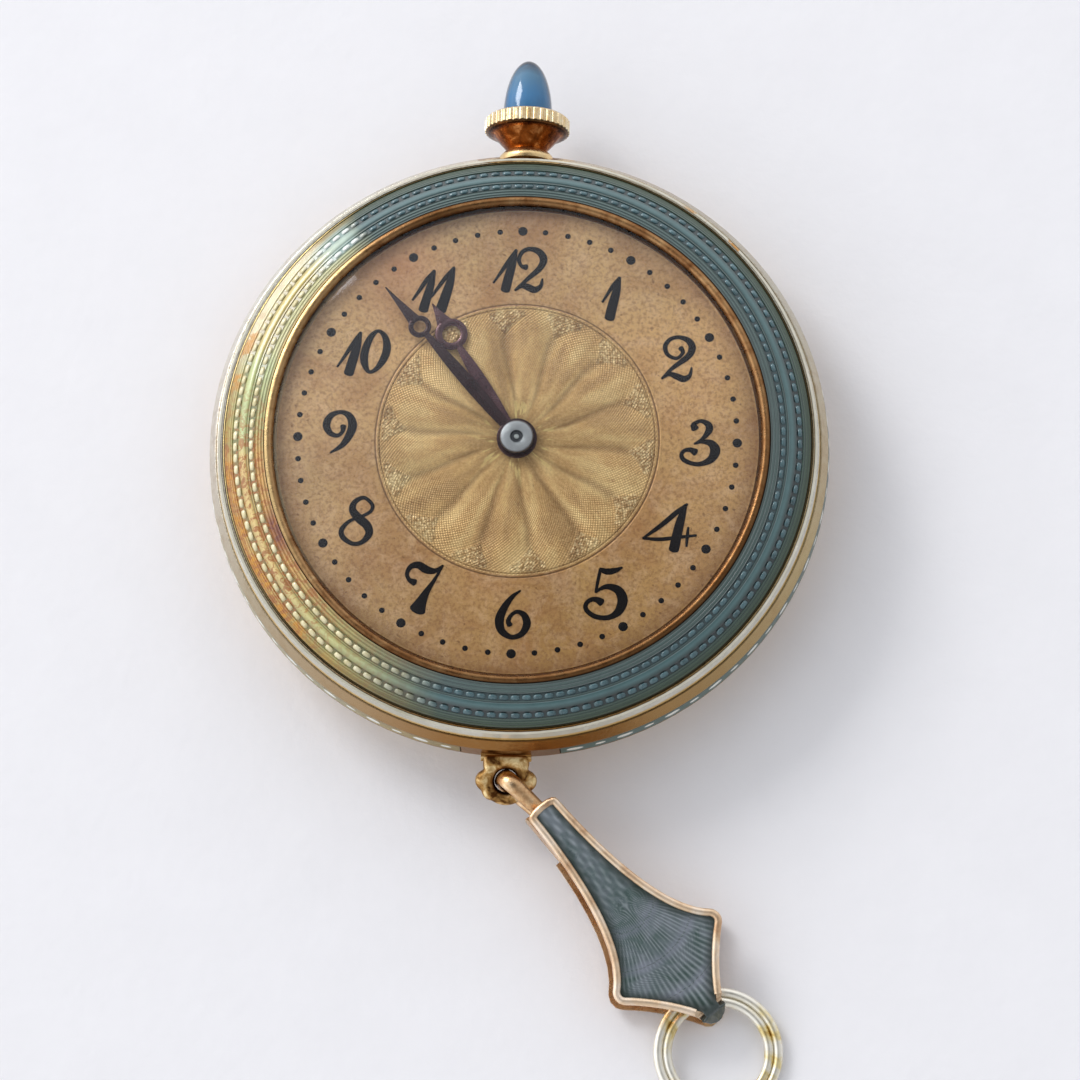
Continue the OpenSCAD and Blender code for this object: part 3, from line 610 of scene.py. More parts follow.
def brush_stroke(marks, centre, points, faces):
    """One stroke of thick paint, fullest along its middle, with a rounded start and end."""
    closed = marks[0] == marks[-1]
    line = smooth_line(marks, closed=closed)
    spots = np.column_stack([(line[:, 0] - brush_middle) / brush_scale + centre[0],
                             (brush_middle - line[:, 1]) / brush_scale / camera_up[1] + centre[1]])
    half = (np.maximum(line[:, 2], 3) * 1.07 + 8) / 2 / brush_scale
    run = np.gradient(spots, axis=0)
    if closed:
        run[0] = run[-1] = spots[1] - spots[-2]
    run /= np.linalg.norm(run, axis=1)[:, None] + 1e-9
    if not closed:
        ends = []
        for end, sign in ((0, -1), (-1, 1)):
            bits = [(spots[end] + sign * run[end] * half[end] * 0.5 * np.sin(t), half[end] * np.cos(t), run[end])
                    for t in np.radians([30, 60, 84])]
            ends.append(bits if sign > 0 else bits[::-1])
        spots = np.vstack([[b[0] for b in ends[0]], spots, [b[0] for b in ends[1]]])
        half = np.concatenate([[b[1] for b in ends[0]], half, [b[1] for b in ends[1]]])
        run = np.vstack([[b[2] for b in ends[0]], run, [b[2] for b in ends[1]]])
    left = np.column_stack([-run[:, 1], run[:, 0]])
    base = len(points)
    section = ((-1, 0), (-0.93, 0.6), (0, 1), (0.93, 0.6), (1, 0))
    for spot, out, wide in zip(spots, left, half):
        for across, up in section:
            points.append((*(spot + out * across * wide), ink_z + ink_lift * up))
    faces += woven(len(spots), len(section), base, round_rows=False, round_columns=False)


ink, tree, skin = new_finish("black_dial_paint", Specular_IOR_Level=0.06)
paint(tree, skin, blend(tree, speckle(tree, 0.35, 5, 0.6), (5, 3, 2), (24, 15, 11)))
polish(tree, skin, 0.35, 0.6, 0.2)
rough_up(tree, skin, speckle(tree, 0.12, 4), 0.01)

points, faces = [], []
for hour, strokes in brush.items():
    for marks in strokes:
        brush_stroke(marks, numeral_at[hour], points, faces)
solid("numerals", points, faces, ink, "watch", slot="dark_steel")

dot_ring, large_dot, small_dot, dot_rise = 9.86, 0.225, 0.135, 0.06


def dot_shape(k, u, v, w):
    size = small_dot if k % 5 else large_dot
    a = 2 * np.pi * k / 60
    return dot_ring * np.sin(a) + u * size, dot_ring * np.cos(a) + v * size, ink_z + w * dot_rise


solid("minute_dots", *drops(range(60), dot_shape), ink, "watch", slot="dark_steel")

# --- Hands and centre cap ---
# The hands are stamped from steel and blued to a dark purple brown. Each has a ridge down its leaf, a ring
# before its tip and a pipe that is pressed on its wheel. A turned steel cap covers the middle.
hand_edge, hand_ridge = 0.035, 0.10


def blued_steel(name, deep, mid, light):
    """Steel blued to a purple brown, with uneven polish."""
    finish, tree, skin = new_finish(name, Metallic=0.7, Coat_Weight=0.3, Coat_Roughness=0.25)
    paint(tree, skin, mottle(tree, [(0.3, deep), (0.6, mid), (0.8, light)], 0.8, 5, 0.6))
    polish(tree, skin, 0.22, 0.38, 0.3, 4)
    rough_up(tree, skin, speckle(tree, 0.1, 4), 0.006)
    return finish


def bend_line(start, pull, end, shares):
    """Points of a line that leaves its start towards the pull and comes to its end from there."""
    t = shares[:, None]
    return (1 - t) ** 2 * np.array(start) + 2 * t * (1 - t) * np.array(pull) + t * t * np.array(end)


def make_hand(name, body, clockwise, low, eye_at, eye_out, eye_in, leaf, length, pipe_in, pipe_out, pipe_low,
              node, finish):
    """A ridged leaf, a round eye, a pointed tip and the pipe, drawn along +X and turned to its hour."""
    points, faces = [], []

    def ridged(spans):
        base = len(points)
        for x, wide in spans:
            for across, up in ((-1, 0.0), (-1, hand_edge), (0, hand_ridge), (1, hand_edge), (1, 0.0)):
                points.append((x, across * wide, low + up))
        faces.extend(woven(len(spans), 5, base, round_rows=False))
        faces.extend([first + s for s in range(5)] for first in (base, len(points) - 5))

    bulge, end = (0.53 * eye_at, 2 * leaf - 0.1), (eye_at - 0.9 * eye_out, 0.13)
    ridged([*bend_line((0.5, 0.2), bulge, end, np.linspace(0, 1, 24)), (eye_at - 0.7 * eye_out, 0.17)])
    tip_from = eye_at + 0.72 * eye_out
    ridged([(tip_from + (length - tip_from) * q, 0.5 * eye_out * (1 - q) ** 1.25 + 0.035)
            for q in np.linspace(0, 1, 14)])

    def ring(section, centre_x, steps=64):
        base = len(points)
        for a in np.arange(steps) * 2 * np.pi / steps:
            points.extend((centre_x + r * np.cos(a), r * np.sin(a), z) for r, z in section)
        faces.extend(woven(steps, len(section), base))

    mid, wide = (eye_out + eye_in) / 2, (eye_out - eye_in) / 2
    ring([(mid + wide * np.cos(b), low + 0.03 + 0.055 * np.sin(b)) for b in np.linspace(0, np.pi, 9)]
         + [(mid - wide, low), (mid + wide, low)], eye_at + 0.02)
    ring([(pipe_in, low + 0.08), (0.82, low + 0.08), (0.9, low + 0.05), (0.9, low), (pipe_out, low),
          (pipe_out, pipe_low), (pipe_in, pipe_low)], 0)
    points = [(*swung(np.radians(90 - clockwise), x, y), z) for x, y, z in points]
    return solid(name, points, faces, finish, body, slot="dark_steel", replaces=(node,), crease=25)


# The hour hand's finish is a lighter copy of the minute hand's blue: painted light, where its leaf catches the lamp.
make_hand("hour_leaf", "hour", clockwise=327.6, low=4.92, eye_at=5.75, eye_out=0.74, eye_in=0.41, leaf=0.26,
          length=7.45, pipe_in=0.4, pipe_out=0.6, pipe_low=4.1, node="hour_hand",
          finish=blued_steel("blued_hour_painted_lit", (70, 40, 44), (96, 62, 64), (120, 88, 88)))
make_hand("minute_leaf", "minute", clockwise=318.8, low=5.08, eye_at=6.84, eye_out=0.52, eye_in=0.28, leaf=0.26,
          length=9.3, pipe_in=0.22, pipe_out=0.38, pipe_low=4.0, node="minute_hand",
          finish=blued_steel("blued_minute", (40, 16, 16), (56, 26, 26), (80, 44, 40)))

cap_r, cap_top, cap_low, cap_groove = 0.76, 5.395, 5.17, 0.05
cap_steel, tree, skin = new_finish("turned_steel", Metallic=1.0)
radius = radius_of(tree)
turning = reckon(tree, "SINE", times(tree, radius, 2 * np.pi / cap_groove))
# Painted shade: dark in the groove round the dome and dark at the cap's outer edge.
shade = ramp(tree, reckon(tree, "DIVIDE", radius, 0.8), [
    (0.0, (210, 214, 206)), (0.12, (170, 174, 166)), (0.17, (44, 46, 44)), (0.33, (66, 70, 66)),
    (0.4, (182, 183, 180)), (0.84, (198, 198, 195)), (0.9, (120, 114, 112)), (1.0, (50, 40, 42))])
paint(tree, skin, blend(tree, times(tree, speckle(tree, 0.2, 4), 0.4), shade, (150, 148, 156)))
polish(tree, skin, 0.3, 0.5, 0.15, 4)
rough_up(tree, skin, turning, 0.002)
turned("cap_disc", [(0.0, 5.355), (0.1, 5.35), (0.15, 5.31), (0.24, 5.31), (0.28, 5.385), (0.34, cap_top),
                    (0.66, cap_top), (0.73, 5.37), (cap_r, 5.32), (cap_r, cap_low), (0.0, cap_low)],
       cap_steel, "minute", steps=96, slot="steel", replaces=("centre_cap",))

# --- Bezel ---
# The bezel is a rose-gold ring whose rounded inner lip holds the glass. Its lip has reddened. Painted shade darkens
# the corners beside the lip. The lip is painted paler on the side towards the lamp, and it is darker in places away
# from the lamp, partly as painted shade.
lip_r, lip_low, lip_crest = 10.94, 5.23, 5.5
enamel_in, enamel_out, enamel_top, bezel_low, bezel_r = 11.34, 13.19, 5.36, 4.6, 13.24

rose, tree, skin = new_finish("rose_gold_lip", Metallic=1.0)
cloud = speckle(tree, 0.9, 6, 0.62, 0.8)
warm = ramp(tree, cloud, [(0.3, (118, 76, 44)), (0.46, (160, 118, 78)), (0.62, (182, 142, 98)),
                          (0.8, (214, 182, 136))])
radius = radius_of(tree)
# Painted shade in the corners beside the lip, weaker on the side towards the lamp.
corner_shade = past(tree, radius, 10.8, [
    (0.12, 0.0), (0.15, 0.5), (0.18, 0.3), (0.24, 0.0), (0.44, 0.0), (0.52, 0.9)])
around = angle_of(tree)
# Painted light: the lip, its flange and its outer seam are paler on the side towards the lamp, at the left.
lamp_side_light = by_clock(tree, around, [(326, 0.0), (314, 0.9), (256, 0.9), (228, 0.0)])
# Darker brown in places, mostly on the right and at the bottom away from the lamp: partly its own tone, partly
# painted shade.
duller_and_shaded = by_clock(tree, around, [(90, 0.4), (60, 0.0), (10, 0.2), (338, 0.85), (322, 0.0), (240, 0.0), (205, 0.5),
                                 (150, 0.75), (115, 0.75), (90, 0.4)])
warm = blend(tree, duller_and_shaded, warm, (100, 66, 36))
on_slope = past(tree, radius, 11.0, [(0.1, 0.25), (0.24, 1.0)])
warm = blend(tree, times(tree, lamp_side_light, on_slope), warm, (198, 172, 122))
corner_shade = times(tree, corner_shade, reckon(tree, "MULTIPLY_ADD", lamp_side_light, -0.8, 1.0))
warm = blend(tree, corner_shade, warm, (70, 40, 20))
flange = blend(tree, lamp_side_light, (124, 80, 42), (200, 172, 130))
warm = blend(tree, reckon(tree, "LESS_THAN", radius, lip_r - 0.03), warm, flange)
outer_edge = reckon(tree, "GREATER_THAN", radius, 13.0)
seam = blend(tree, lamp_side_light, (84, 76, 50), (214, 192, 136))
paint(tree, skin, blend(tree, times(tree, outer_edge, 0.8), warm, seam))
polish(tree, skin, 0.2, 0.42, 0.5, 4)
rough_up(tree, skin, speckle(tree, 0.22, 5, 0.7), 0.018)

lip = bend_line((lip_r, lip_low), (lip_r + 0.12, lip_crest), (enamel_in - 0.02, enamel_top), np.linspace(0, 1, 15))
turned("bezel_ring", [(12.36, 3.98), (bezel_r, 3.98), (bezel_r, bezel_low), (bezel_r - 0.04, bezel_low + 0.01),
                      (bezel_r - 0.04, bezel_low - 0.2), (enamel_in, enamel_top - 0.25)]
       + [tuple(p) for p in lip[::-1]]
       + [(11.2, 5.23), (11.2, 4.95), (10.82, 4.95), (10.82, 4.83), (11.15, 4.83), (11.15, 4.5), (12.36, 4.5)],
       rose, "watch", steps=360, slot="rose_gold", replaces=("bezel",))

# --- Bezel enamel ---
# Clear blue-green glass is fired over a ring of gold that was first cut on the engine: thin lines, a row of
# beads, a smooth round band, a second row of beads and a striped edge. On the left the ring is gold-coloured instead
# of blue-green, and there it carries a painted reflection of the lamp: pale outer stripes and a pale blue glare.
inner_row, outer_row, inner_track, outer_track, track_cut = 11.93, 12.67, 0.15, 0.14, 0.045
bead_count, bead_long, bead_half, bead_sunk, bead_rise = 150, 0.2, 0.105, 0.065, 0.085
band_at, band_half, band_rise = 12.34, 0.17, 0.05
lines_end, line_pitch, line_cut = 11.78, 0.14, 0.018
stripes_from, stripe_pitch, stripe_cut = 12.82, 0.09, 0.010
span = enamel_out - enamel_in


def slope(r):
    t = (r - enamel_in) / span
    return enamel_top + (bezel_low - enamel_top) * t + 0.18 * t * (1 - t)


def enamel_relief(r):
    """The cut metal's form: fine ridges, sunk bead tracks and a full round band between them."""
    lines = line_cut * np.cos(2 * np.pi * (r - enamel_in - 0.02) / line_pitch) * (r < lines_end)
    tracks = -track_cut * ((abs(r - inner_row) < inner_track) | (abs(r - outer_row) < outer_track))
    band = band_rise * np.sqrt(np.clip(1 - ((r - band_at) / band_half) ** 2, 0, 1))
    stripes = stripe_cut * np.cos(2 * np.pi * (r - stripes_from - 0.02) / stripe_pitch) * (r > stripes_from)
    return lines + tracks + band + stripes - 0.02


def zone(tree, around):
    """How far round the ring is gold-coloured instead of blue-green, from 0 to 1, with a ragged border."""
    ragged = reckon(tree, "MULTIPLY_ADD", speckle(tree, 1.5, 4), 0.02, around)
    return by_clock(tree, reckon(tree, "SUBTRACT", ragged, 0.01), [(324, 0.0), (319, 1.0), (218, 1.0), (194, 0.0)])


def painted_glare(tree, around):
    """The painted glare: a pale blue reflection at half past ten, with a sharp end towards twelve."""
    return by_clock(tree, around, [(323, 0.0), (320.5, 0.8), (314, 0.8), (308, 0.0)])


enamel, tree, skin = new_finish("clear_enamel_over_engraving", Coat_Weight=1.0, Coat_Roughness=0.05)
around, radius = angle_of(tree), radius_of(tree)
across = reckon(tree, "DIVIDE", reckon(tree, "SUBTRACT", radius, enamel_in), span)
blue = ramp(tree, across, [
    (0.0, (35, 33, 20)), (0.03, (66, 87, 82)), (0.065, (38, 58, 58)), (0.10, (78, 103, 99)), (0.14, (37, 58, 58)),
    (0.18, (77, 101, 97)), (0.235, (29, 45, 45)), (0.25, (35, 61, 65)), (0.39, (35, 61, 65)), (0.41, (71, 96, 93)),
    (0.435, (28, 45, 45)), (0.455, (62, 91, 93)), (0.54, (75, 109, 112)), (0.62, (49, 73, 73)), (0.645, (20, 32, 33)),
    (0.665, (26, 43, 45)), (0.78, (26, 43, 45)), (0.80, (71, 94, 82)), (0.84, (41, 61, 54)), (0.88, (66, 86, 69)),
    (0.92, (40, 59, 47)), (0.96, (62, 80, 57)), (1.0, (37, 39, 21))])
yellow = ramp(tree, across, [
    (0.0, (196, 174, 120)), (0.03, (206, 180, 120)), (0.065, (150, 128, 76)), (0.10, (220, 198, 140)),
    (0.14, (156, 134, 80)), (0.18, (220, 200, 142)), (0.235, (124, 112, 64)), (0.25, (136, 130, 84)),
    (0.39, (136, 130, 84)), (0.41, (210, 200, 150)), (0.435, (124, 116, 66)), (0.455, (206, 196, 146)),
    (0.54, (236, 230, 186)), (0.62, (200, 190, 138)), (0.645, (120, 110, 62)), (0.665, (146, 138, 88)),
    (0.78, (146, 138, 88)), (0.80, (214, 200, 146)), (0.84, (178, 150, 86)), (0.88, (216, 190, 126)),
    (0.92, (176, 138, 66)), (0.96, (206, 168, 96)), (1.0, (170, 134, 72))])
# Tints over the gold part; the pale blue at its end towards twelve is painted glare.
stain_and_glare = by_clock(tree, around, [
    (324, (176, 206, 214)), (316, (214, 224, 214)), (312, (236, 214, 120)), (290, (238, 216, 140)),
    (286, (206, 232, 190)), (270, (202, 230, 190)), (264, (248, 208, 136)), (238, (244, 212, 144)),
    (222, (206, 214, 160)), (200, (170, 190, 150))])
yellow = blend(tree, 0.75, yellow, blend(tree, 1.0, yellow, stain_and_glare, "MULTIPLY"))
# Painted reflection of the lamp: the outer stripes are near white from about half past nine to half past ten.
pale = by_clock(tree, around, [(316, 0.0), (310, 0.7), (292, 0.7), (284, 0.2), (272, 0.0)])
yellow = blend(tree, times(tree, pale, ramp(tree, across, [(0.74, 0.0), (0.82, 1.0)])), yellow, (252, 244, 206))
mint = by_clock(tree, around, [(322, 0.0), (312, 0.7), (284, 0.7), (268, 0.0)])
mint = times(tree, mint, ramp(tree, across, [(0.04, 0.0), (0.08, 1.0), (0.22, 1.0), (0.26, 0.0)]))
yellow = blend(tree, mint, yellow, blend(tree, 1.0, yellow, (226, 255, 226), "MULTIPLY"))
yellow = blend(tree, times(tree, mint, 0.5), yellow, (210, 218, 180))
amber = by_clock(tree, around, [(298, 0.0), (291, 0.9), (281, 0.9), (277, 0.2), (271, 0.2), (262, 1.0), (228, 1.0),
                                (218, 0.0)])
outside = ramp(tree, across, [(0.72, 0.0), (0.82, 1.0)])
patches = mottle(tree, [(0.47, 0.0), (0.55, 1.0)], 0.9, 4, 0.6)
amber = times(tree, amber, outside, patches)
yellow = blend(tree, amber, yellow, (204, 140, 22))
honey = by_clock(tree, around, [(276, 0.0), (266, 0.65), (238, 0.65), (226, 0.0)])
honey = times(tree, honey, ramp(tree, across, [(0.04, 0.0), (0.1, 1.0), (0.2, 1.0), (0.3, 0.0)]))
yellow = blend(tree, honey, yellow, blend(tree, 0.5, yellow, (214, 148, 50)))
burn = by_clock(tree, around, [(253, 0.0), (249, 1.0), (244, 1.0), (240, 0.0)])
burn = times(tree, burn, ramp(tree, across, [(0.2, 1.0), (0.28, 0.0)]))
yellow = blend(tree, burn, yellow, (128, 62, 30))
rust = by_clock(tree, around, [(285, 0.0), (266, 1.0), (232, 1.0), (218, 0.3), (205, 0.3)])
rust = times(tree, mottle(tree, [(0.49, 0.0), (0.55, 0.95)], 0.35, 5, 0.72, 1.0), rust)
yellow = blend(tree, rust, yellow, (166, 100, 26))
# Painted reflection: a pale blue glare on the enamel at half past ten.
glare_share = times(tree, painted_glare(tree, around), ramp(tree, across, [(0.16, 0.15), (0.3, 1.0), (0.84, 1.0), (0.92, 0.2)]))
yellow = blend(tree, glare_share, yellow, blend(tree, 0.5, yellow, (160, 208, 224)))
surface = blend(tree, zone(tree, around), blue, yellow)
surface = blend(tree, mottle(tree, [(0.4, 0.0), (0.8, 0.45)], 0.6, 5, 0.65), surface,
                blend(tree, 0.6, surface, (30, 44, 44)))
paint(tree, skin, surface)
polish(tree, skin, 0.3, 0.5, 0.5, 4)
rough_up(tree, skin, speckle(tree, 0.12, 5, 0.7), 0.012)

ring_r = np.linspace(enamel_in + 0.02, enamel_out - 0.02, 96)
turned("enamel_ring", [(r, slope(r) + enamel_relief(r)) for r in ring_r]
       + [(enamel_out - 0.02, bezel_low - 0.17), (enamel_in + 0.02, enamel_top - 0.22)],
       enamel, "watch", steps=360, slot="teal_enamel", replaces=("bezel_enamel",), crease=50)

bead_finish, tree, skin = new_finish("bead_under_enamel", Coat_Weight=1.0, Coat_Roughness=0.06)
around = angle_of(tree)
cool = mottle(tree, [(0.3, (44, 74, 80)), (0.7, (78, 112, 120))], 0.5, 3)
pale = mottle(tree, [(0.3, (206, 192, 138)), (0.7, (240, 230, 190))], 0.5, 3)
bead_tone = blend(tree, zone(tree, around), cool, pale)
# Painted reflection: beads under the glare are painted near white.
paint(tree, skin, blend(tree, painted_glare(tree, around), bead_tone, (236, 244, 246)))
polish(tree, skin, 0.2, 0.4, 0.2, 3)
beads = [(row, k) for row in (inner_row, outer_row) for k in range(bead_count)]


def bead_shape(k, u, v, w):
    row, place = beads[k]
    squarer = max(abs(u), abs(v)) or 1
    lift = np.hypot(u, v) / squarer
    u, v = u * (0.1 + 0.9 * lift), v * (0.1 + 0.9 * lift)
    a = 2 * np.pi * place / bead_count + u * bead_long / row
    r = row + v * bead_half
    return r * np.cos(a), r * np.sin(a), slope(r) - bead_sunk + w * bead_rise


solid("enamel_beads", *drops(beads, bead_shape, rows=3), bead_finish, "watch", slot="teal_enamel", crease=60)

# --- White ring ---
# A narrow hoop of opaque white enamel lies between the bezel and the case. Its outer edge has a line of gold,
# and between one and two o'clock the white has worn through to the metal.
white, tree, skin = new_finish("white_enamel_hoop", Coat_Weight=1.0, Coat_Roughness=0.05)
around, radius = angle_of(tree), radius_of(tree)
body_white = mottle(tree, [(0.3, (192, 187, 168)), (0.7, (216, 211, 196))], 1.0, 4)
by_side = by_clock(tree, around, [(320, 0.0), (290, 0.1), (262, 0.35), (205, 0.45), (185, 0.0)])
body_white = blend(tree, by_side, body_white, (150, 146, 116))
chip = by_clock(tree, around, [(50, 0.0), (47, 1.0), (35, 1.0), (32, 0.0)])
chip = times(tree, chip, mottle(tree, [(0.46, 0.0), (0.54, 1.0)], 0.7, 4))
shade = blend(tree, chip, body_white, (196, 140, 66))
rim = past(tree, radius, 13.0, [(0.545, 0.0), (0.56, 1.0)])
paint(tree, skin, blend(tree, rim, shade, (206, 170, 104)))
polish(tree, skin, 0.15, 0.3, 0.4, 4)
wear("white_ring", white)

# --- Crystal ---
# A domed mineral glass is sprung into the groove of the bezel. It is clear, with a faint cool tint, and mirrors
# the lamp near its edge.
glass_r, glass_edge, glass_rise = 10.92, 5.2, 1.5
inner_r, inner_edge, inner_rise, foot_r = 10.64, 4.98, 1.28, 11.18
glass = bpy.data.materials.new("clear_glass")
glass.use_nodes = True
tree = glass.node_tree
tree.nodes.remove(tree.nodes["Principled BSDF"])
dust = mottle(tree, [(0.3, (250, 251, 252)), (0.8, (242, 245, 247))], 6, 5, 0.6)
clear = add(tree, "BsdfTransparent", {"Color": dust})
smear = mottle(tree, [(0.3, 0.01), (0.7, 0.05)], 4, 4)
shine = add(tree, "BsdfGlossy", {"Color": tone(235, 238, 246), "Roughness": smear})
slant = add(tree, "LayerWeight", {"Blend": 0.5}, out="Facing")
mirror = reckon(tree, "MULTIPLY_ADD", reckon(tree, "POWER", slant, 5.0), 0.5, 0.026)
both = add(tree, "MixShader", {0: mirror, 1: clear, 2: shine})
tree.links.new(both, tree.nodes["Material Output"].inputs["Surface"])
outer = [(r, glass_edge + glass_rise * (1 - (r / glass_r) ** 2)) for r in np.linspace(glass_r, 0, 40)]
inner = [(r, inner_edge + inner_rise * (1 - (r / inner_r) ** 2)) for r in np.linspace(0, inner_r, 40)]
turned("glass_dome", [(foot_r, inner_edge), (foot_r, glass_edge)] + outer + inner, glass, "watch", steps=192,
       slot="crystal", replaces=("crystal",), crease=30)

# --- Crown ---
# The winding crown is a fluted gold wheel on a turned cone, fixed on the steel stem. Its flutes are painted brown as
# shade, its cone is painted dark red-brown as shade under the wheel, and a bullet of blue stone is cemented in its
# end.
cone_end_y, flute_r = 15.1, 1.8
crown_gold, tree, skin = new_finish("crown_gold", Metallic=1.0)
place = add(tree, "VectorMath", {0: own_place(tree), 1: (0, 0, -crown_z * mm)}, operation="ADD")
flat = add(tree, "VectorMath", {0: place, 1: (1 / mm, 0, 1 / mm)}, operation="MULTIPLY")
far = add(tree, "VectorMath", {0: flat}, out="Value", operation="LENGTH")
along = reckon(tree, "DIVIDE", add(tree, "SeparateXYZ", {0: place}, out="Y"), mm)
cloud = speckle(tree, 0.5, 5, 0.6, 0.4)
wheel_tone = ramp(tree, cloud, [(0.3, (220, 184, 132)), (0.5, (244, 220, 176)), (0.7, (252, 240, 212))])
# The cone is painted dark red-brown as shade beneath the wheel, with brighter patches.
cone_shade_tone = ramp(tree, cloud, [(0.3, (66, 26, 8)), (0.52, (136, 70, 24)), (0.72, (232, 160, 96))])
on_cone = reckon(tree, "LESS_THAN", along, cone_end_y)
shade = blend(tree, on_cone, wheel_tone, cone_shade_tone)
# Painted shade: a dark line just under the wheel.
shade_under_wheel = past(tree, along, cone_end_y - 0.5, [(0.40, 0.0), (0.46, 0.9), (0.56, 0.9), (0.6, 0.0)])
shade = blend(tree, shade_under_wheel, shade, (34, 14, 8))
# Painted shade: brown in the flutes.
flute_shade = past(tree, far, flute_r, [(0.02, 1.0), (0.10, 0.0)])
flute_shade = times(tree, flute_shade, reckon(tree, "GREATER_THAN", far, flute_r))
shade = blend(tree, times(tree, flute_shade, 0.65), shade, (122, 76, 38))
paint(tree, skin, shade)
polish(tree, skin, 0.16, 0.34, 0.3, 4)
rough_up(tree, skin, speckle(tree, 0.15, 5, 0.7), 0.01)
wear("crown", crown_gold)

# --- Cabochon ---
# The bullet is cut from banded blue chalcedony and polished. It is slightly cloudy and darkest at its tip, and it is
# painted darker as shade round its outline, where it turns away from view.
stone_foot, stone_from, stone_long, stone_r, stone_tall = 15.63, 15.98, 2.67, 1.12, 3.1
stone, tree, skin = new_finish("blue_chalcedony", Coat_Weight=0.35, Coat_Roughness=0.12, Subsurface_Weight=0.08,
                               Subsurface_Radius=(0.0004, 0.0006, 0.0010), Subsurface_Scale=1.0)
along = reckon(tree, "MULTIPLY_ADD", own_axis(tree, "Y"), 1 / (stone_tall * mm), -15.6 / stone_tall)
bands = reckon(tree, "MULTIPLY_ADD", speckle(tree, 1.0, 3, 0.5, 1.5), 0.25, reckon(tree, "SUBTRACT", along, 0.12))
shade = ramp(tree, bands, [(0.0, (32, 92, 140)), (0.35, (46, 110, 158)), (0.7, (66, 112, 142)), (0.92, (30, 52, 74)),
                           (1.0, (16, 28, 42))])
# Painted shade: darker where the stone turns away from view, round its outline.
brim_shade = ramp(tree, add(tree, "LayerWeight", {"Blend": 0.5}, out="Facing"), [(0.45, 0.0), (0.92, 1.0)])
paint(tree, skin, blend(tree, brim_shade, shade, (20, 32, 44)))
polish(tree, skin, 0.08, 0.16, 0.5, 3)
bullet = [(stone_r * np.cos(a), stone_from + stone_long * np.sin(a)) for a in np.linspace(0, np.pi / 2, 28)]
turned("stone_bullet", [(0.0, stone_foot), (stone_r - 0.05, stone_foot), (stone_r, stone_foot + 0.1)] + bullet,
       stone, "crown", steps=96, centre=crown_z, slot="blue_stone", replaces=("cabochon",))

# --- Link ---
# A pear-shaped loop of oval gold wire joins the bow to the clip's bar and is soldered shut. Its wire is thicker
# at the bow than at the bar.
bow_at = np.array(bow_hole)
clip_at, clip_turn, clip_tilt, clip_lift = (1.25, -16.2), np.radians(-48.4), np.radians(6.5), 1.3947


def on_clip(points):
    """Points of the clip's own frame, along it, across it and up, in the watch's frame."""
    x, y, z = np.asarray(points, float).T
    along, up = swung(-clip_tilt, x, z)
    x, y = swung(clip_turn, along, y)
    return np.stack([clip_at[0] + x, clip_at[1] + y, clip_lift + up], -1)


bar_at = on_clip([(0.62, 0, 0.55)])[0]
reach = np.linalg.norm(bar_at - bow_at)
bow_end, eye_end, past_hole = 0.67, 0.39, 0.21
run = reach - bow_end + past_hole
lean = np.arcsin((bow_end - eye_end) / run)
loop = [(bow_end - past_hole + bow_end * np.cos(a), bow_end * np.sin(a))
        for a in np.linspace(np.pi / 2 - lean, 1.5 * np.pi + lean, 36)]
loop += [(reach + eye_end * np.cos(a), eye_end * np.sin(a))
         for a in np.linspace(1.5 * np.pi + lean, 2.5 * np.pi - lean, 36)]
fine_loop = []
for (x0, y0), (x1, y1) in zip(loop, loop[1:] + loop[:1]):
    pieces = max(1, int(np.hypot(x1 - x0, y1 - y0) / 0.12))
    fine_loop += [(x0 + (x1 - x0) * i / pieces, y0 + (y1 - y0) * i / pieces) for i in range(pieces)]
fine_loop = np.array(fine_loop)
run_of = np.roll(fine_loop, -1, 0) - np.roll(fine_loop, 1, 0)
run_of /= np.linalg.norm(run_of, axis=1)[:, None]
out_of = np.column_stack([run_of[:, 1], -run_of[:, 0]])
forward = (bar_at - bow_at) / reach
sideways = np.cross([0, 0, 1], forward)
sideways /= np.linalg.norm(sideways)
upward = np.cross(forward, sideways)
link_points, sides, link_flat, link_wide = [], 20, (0.28, 0.20), (0.43, 0.32)
for (x, y), out in zip(fine_loop, out_of):
    flat, wide = (np.interp(x / reach, (0, 1), ends) for ends in (link_flat, link_wide))
    for s in range(sides):
        a = 2 * np.pi * s / sides
        px, py = np.array([x, y]) + out * flat * np.cos(a)
        link_points.append(bow_at + forward * px + upward * py + sideways * wide * np.sin(a))
link_gold = gold_finish("link_gold", (248, 220, 182), (218, 176, 130), (158, 108, 68), 0.7, (0.14, 0.3))
solid("link_loop", link_points, woven(len(fine_loop), sides), link_gold, "watch", slot="gold", replaces=("link",))

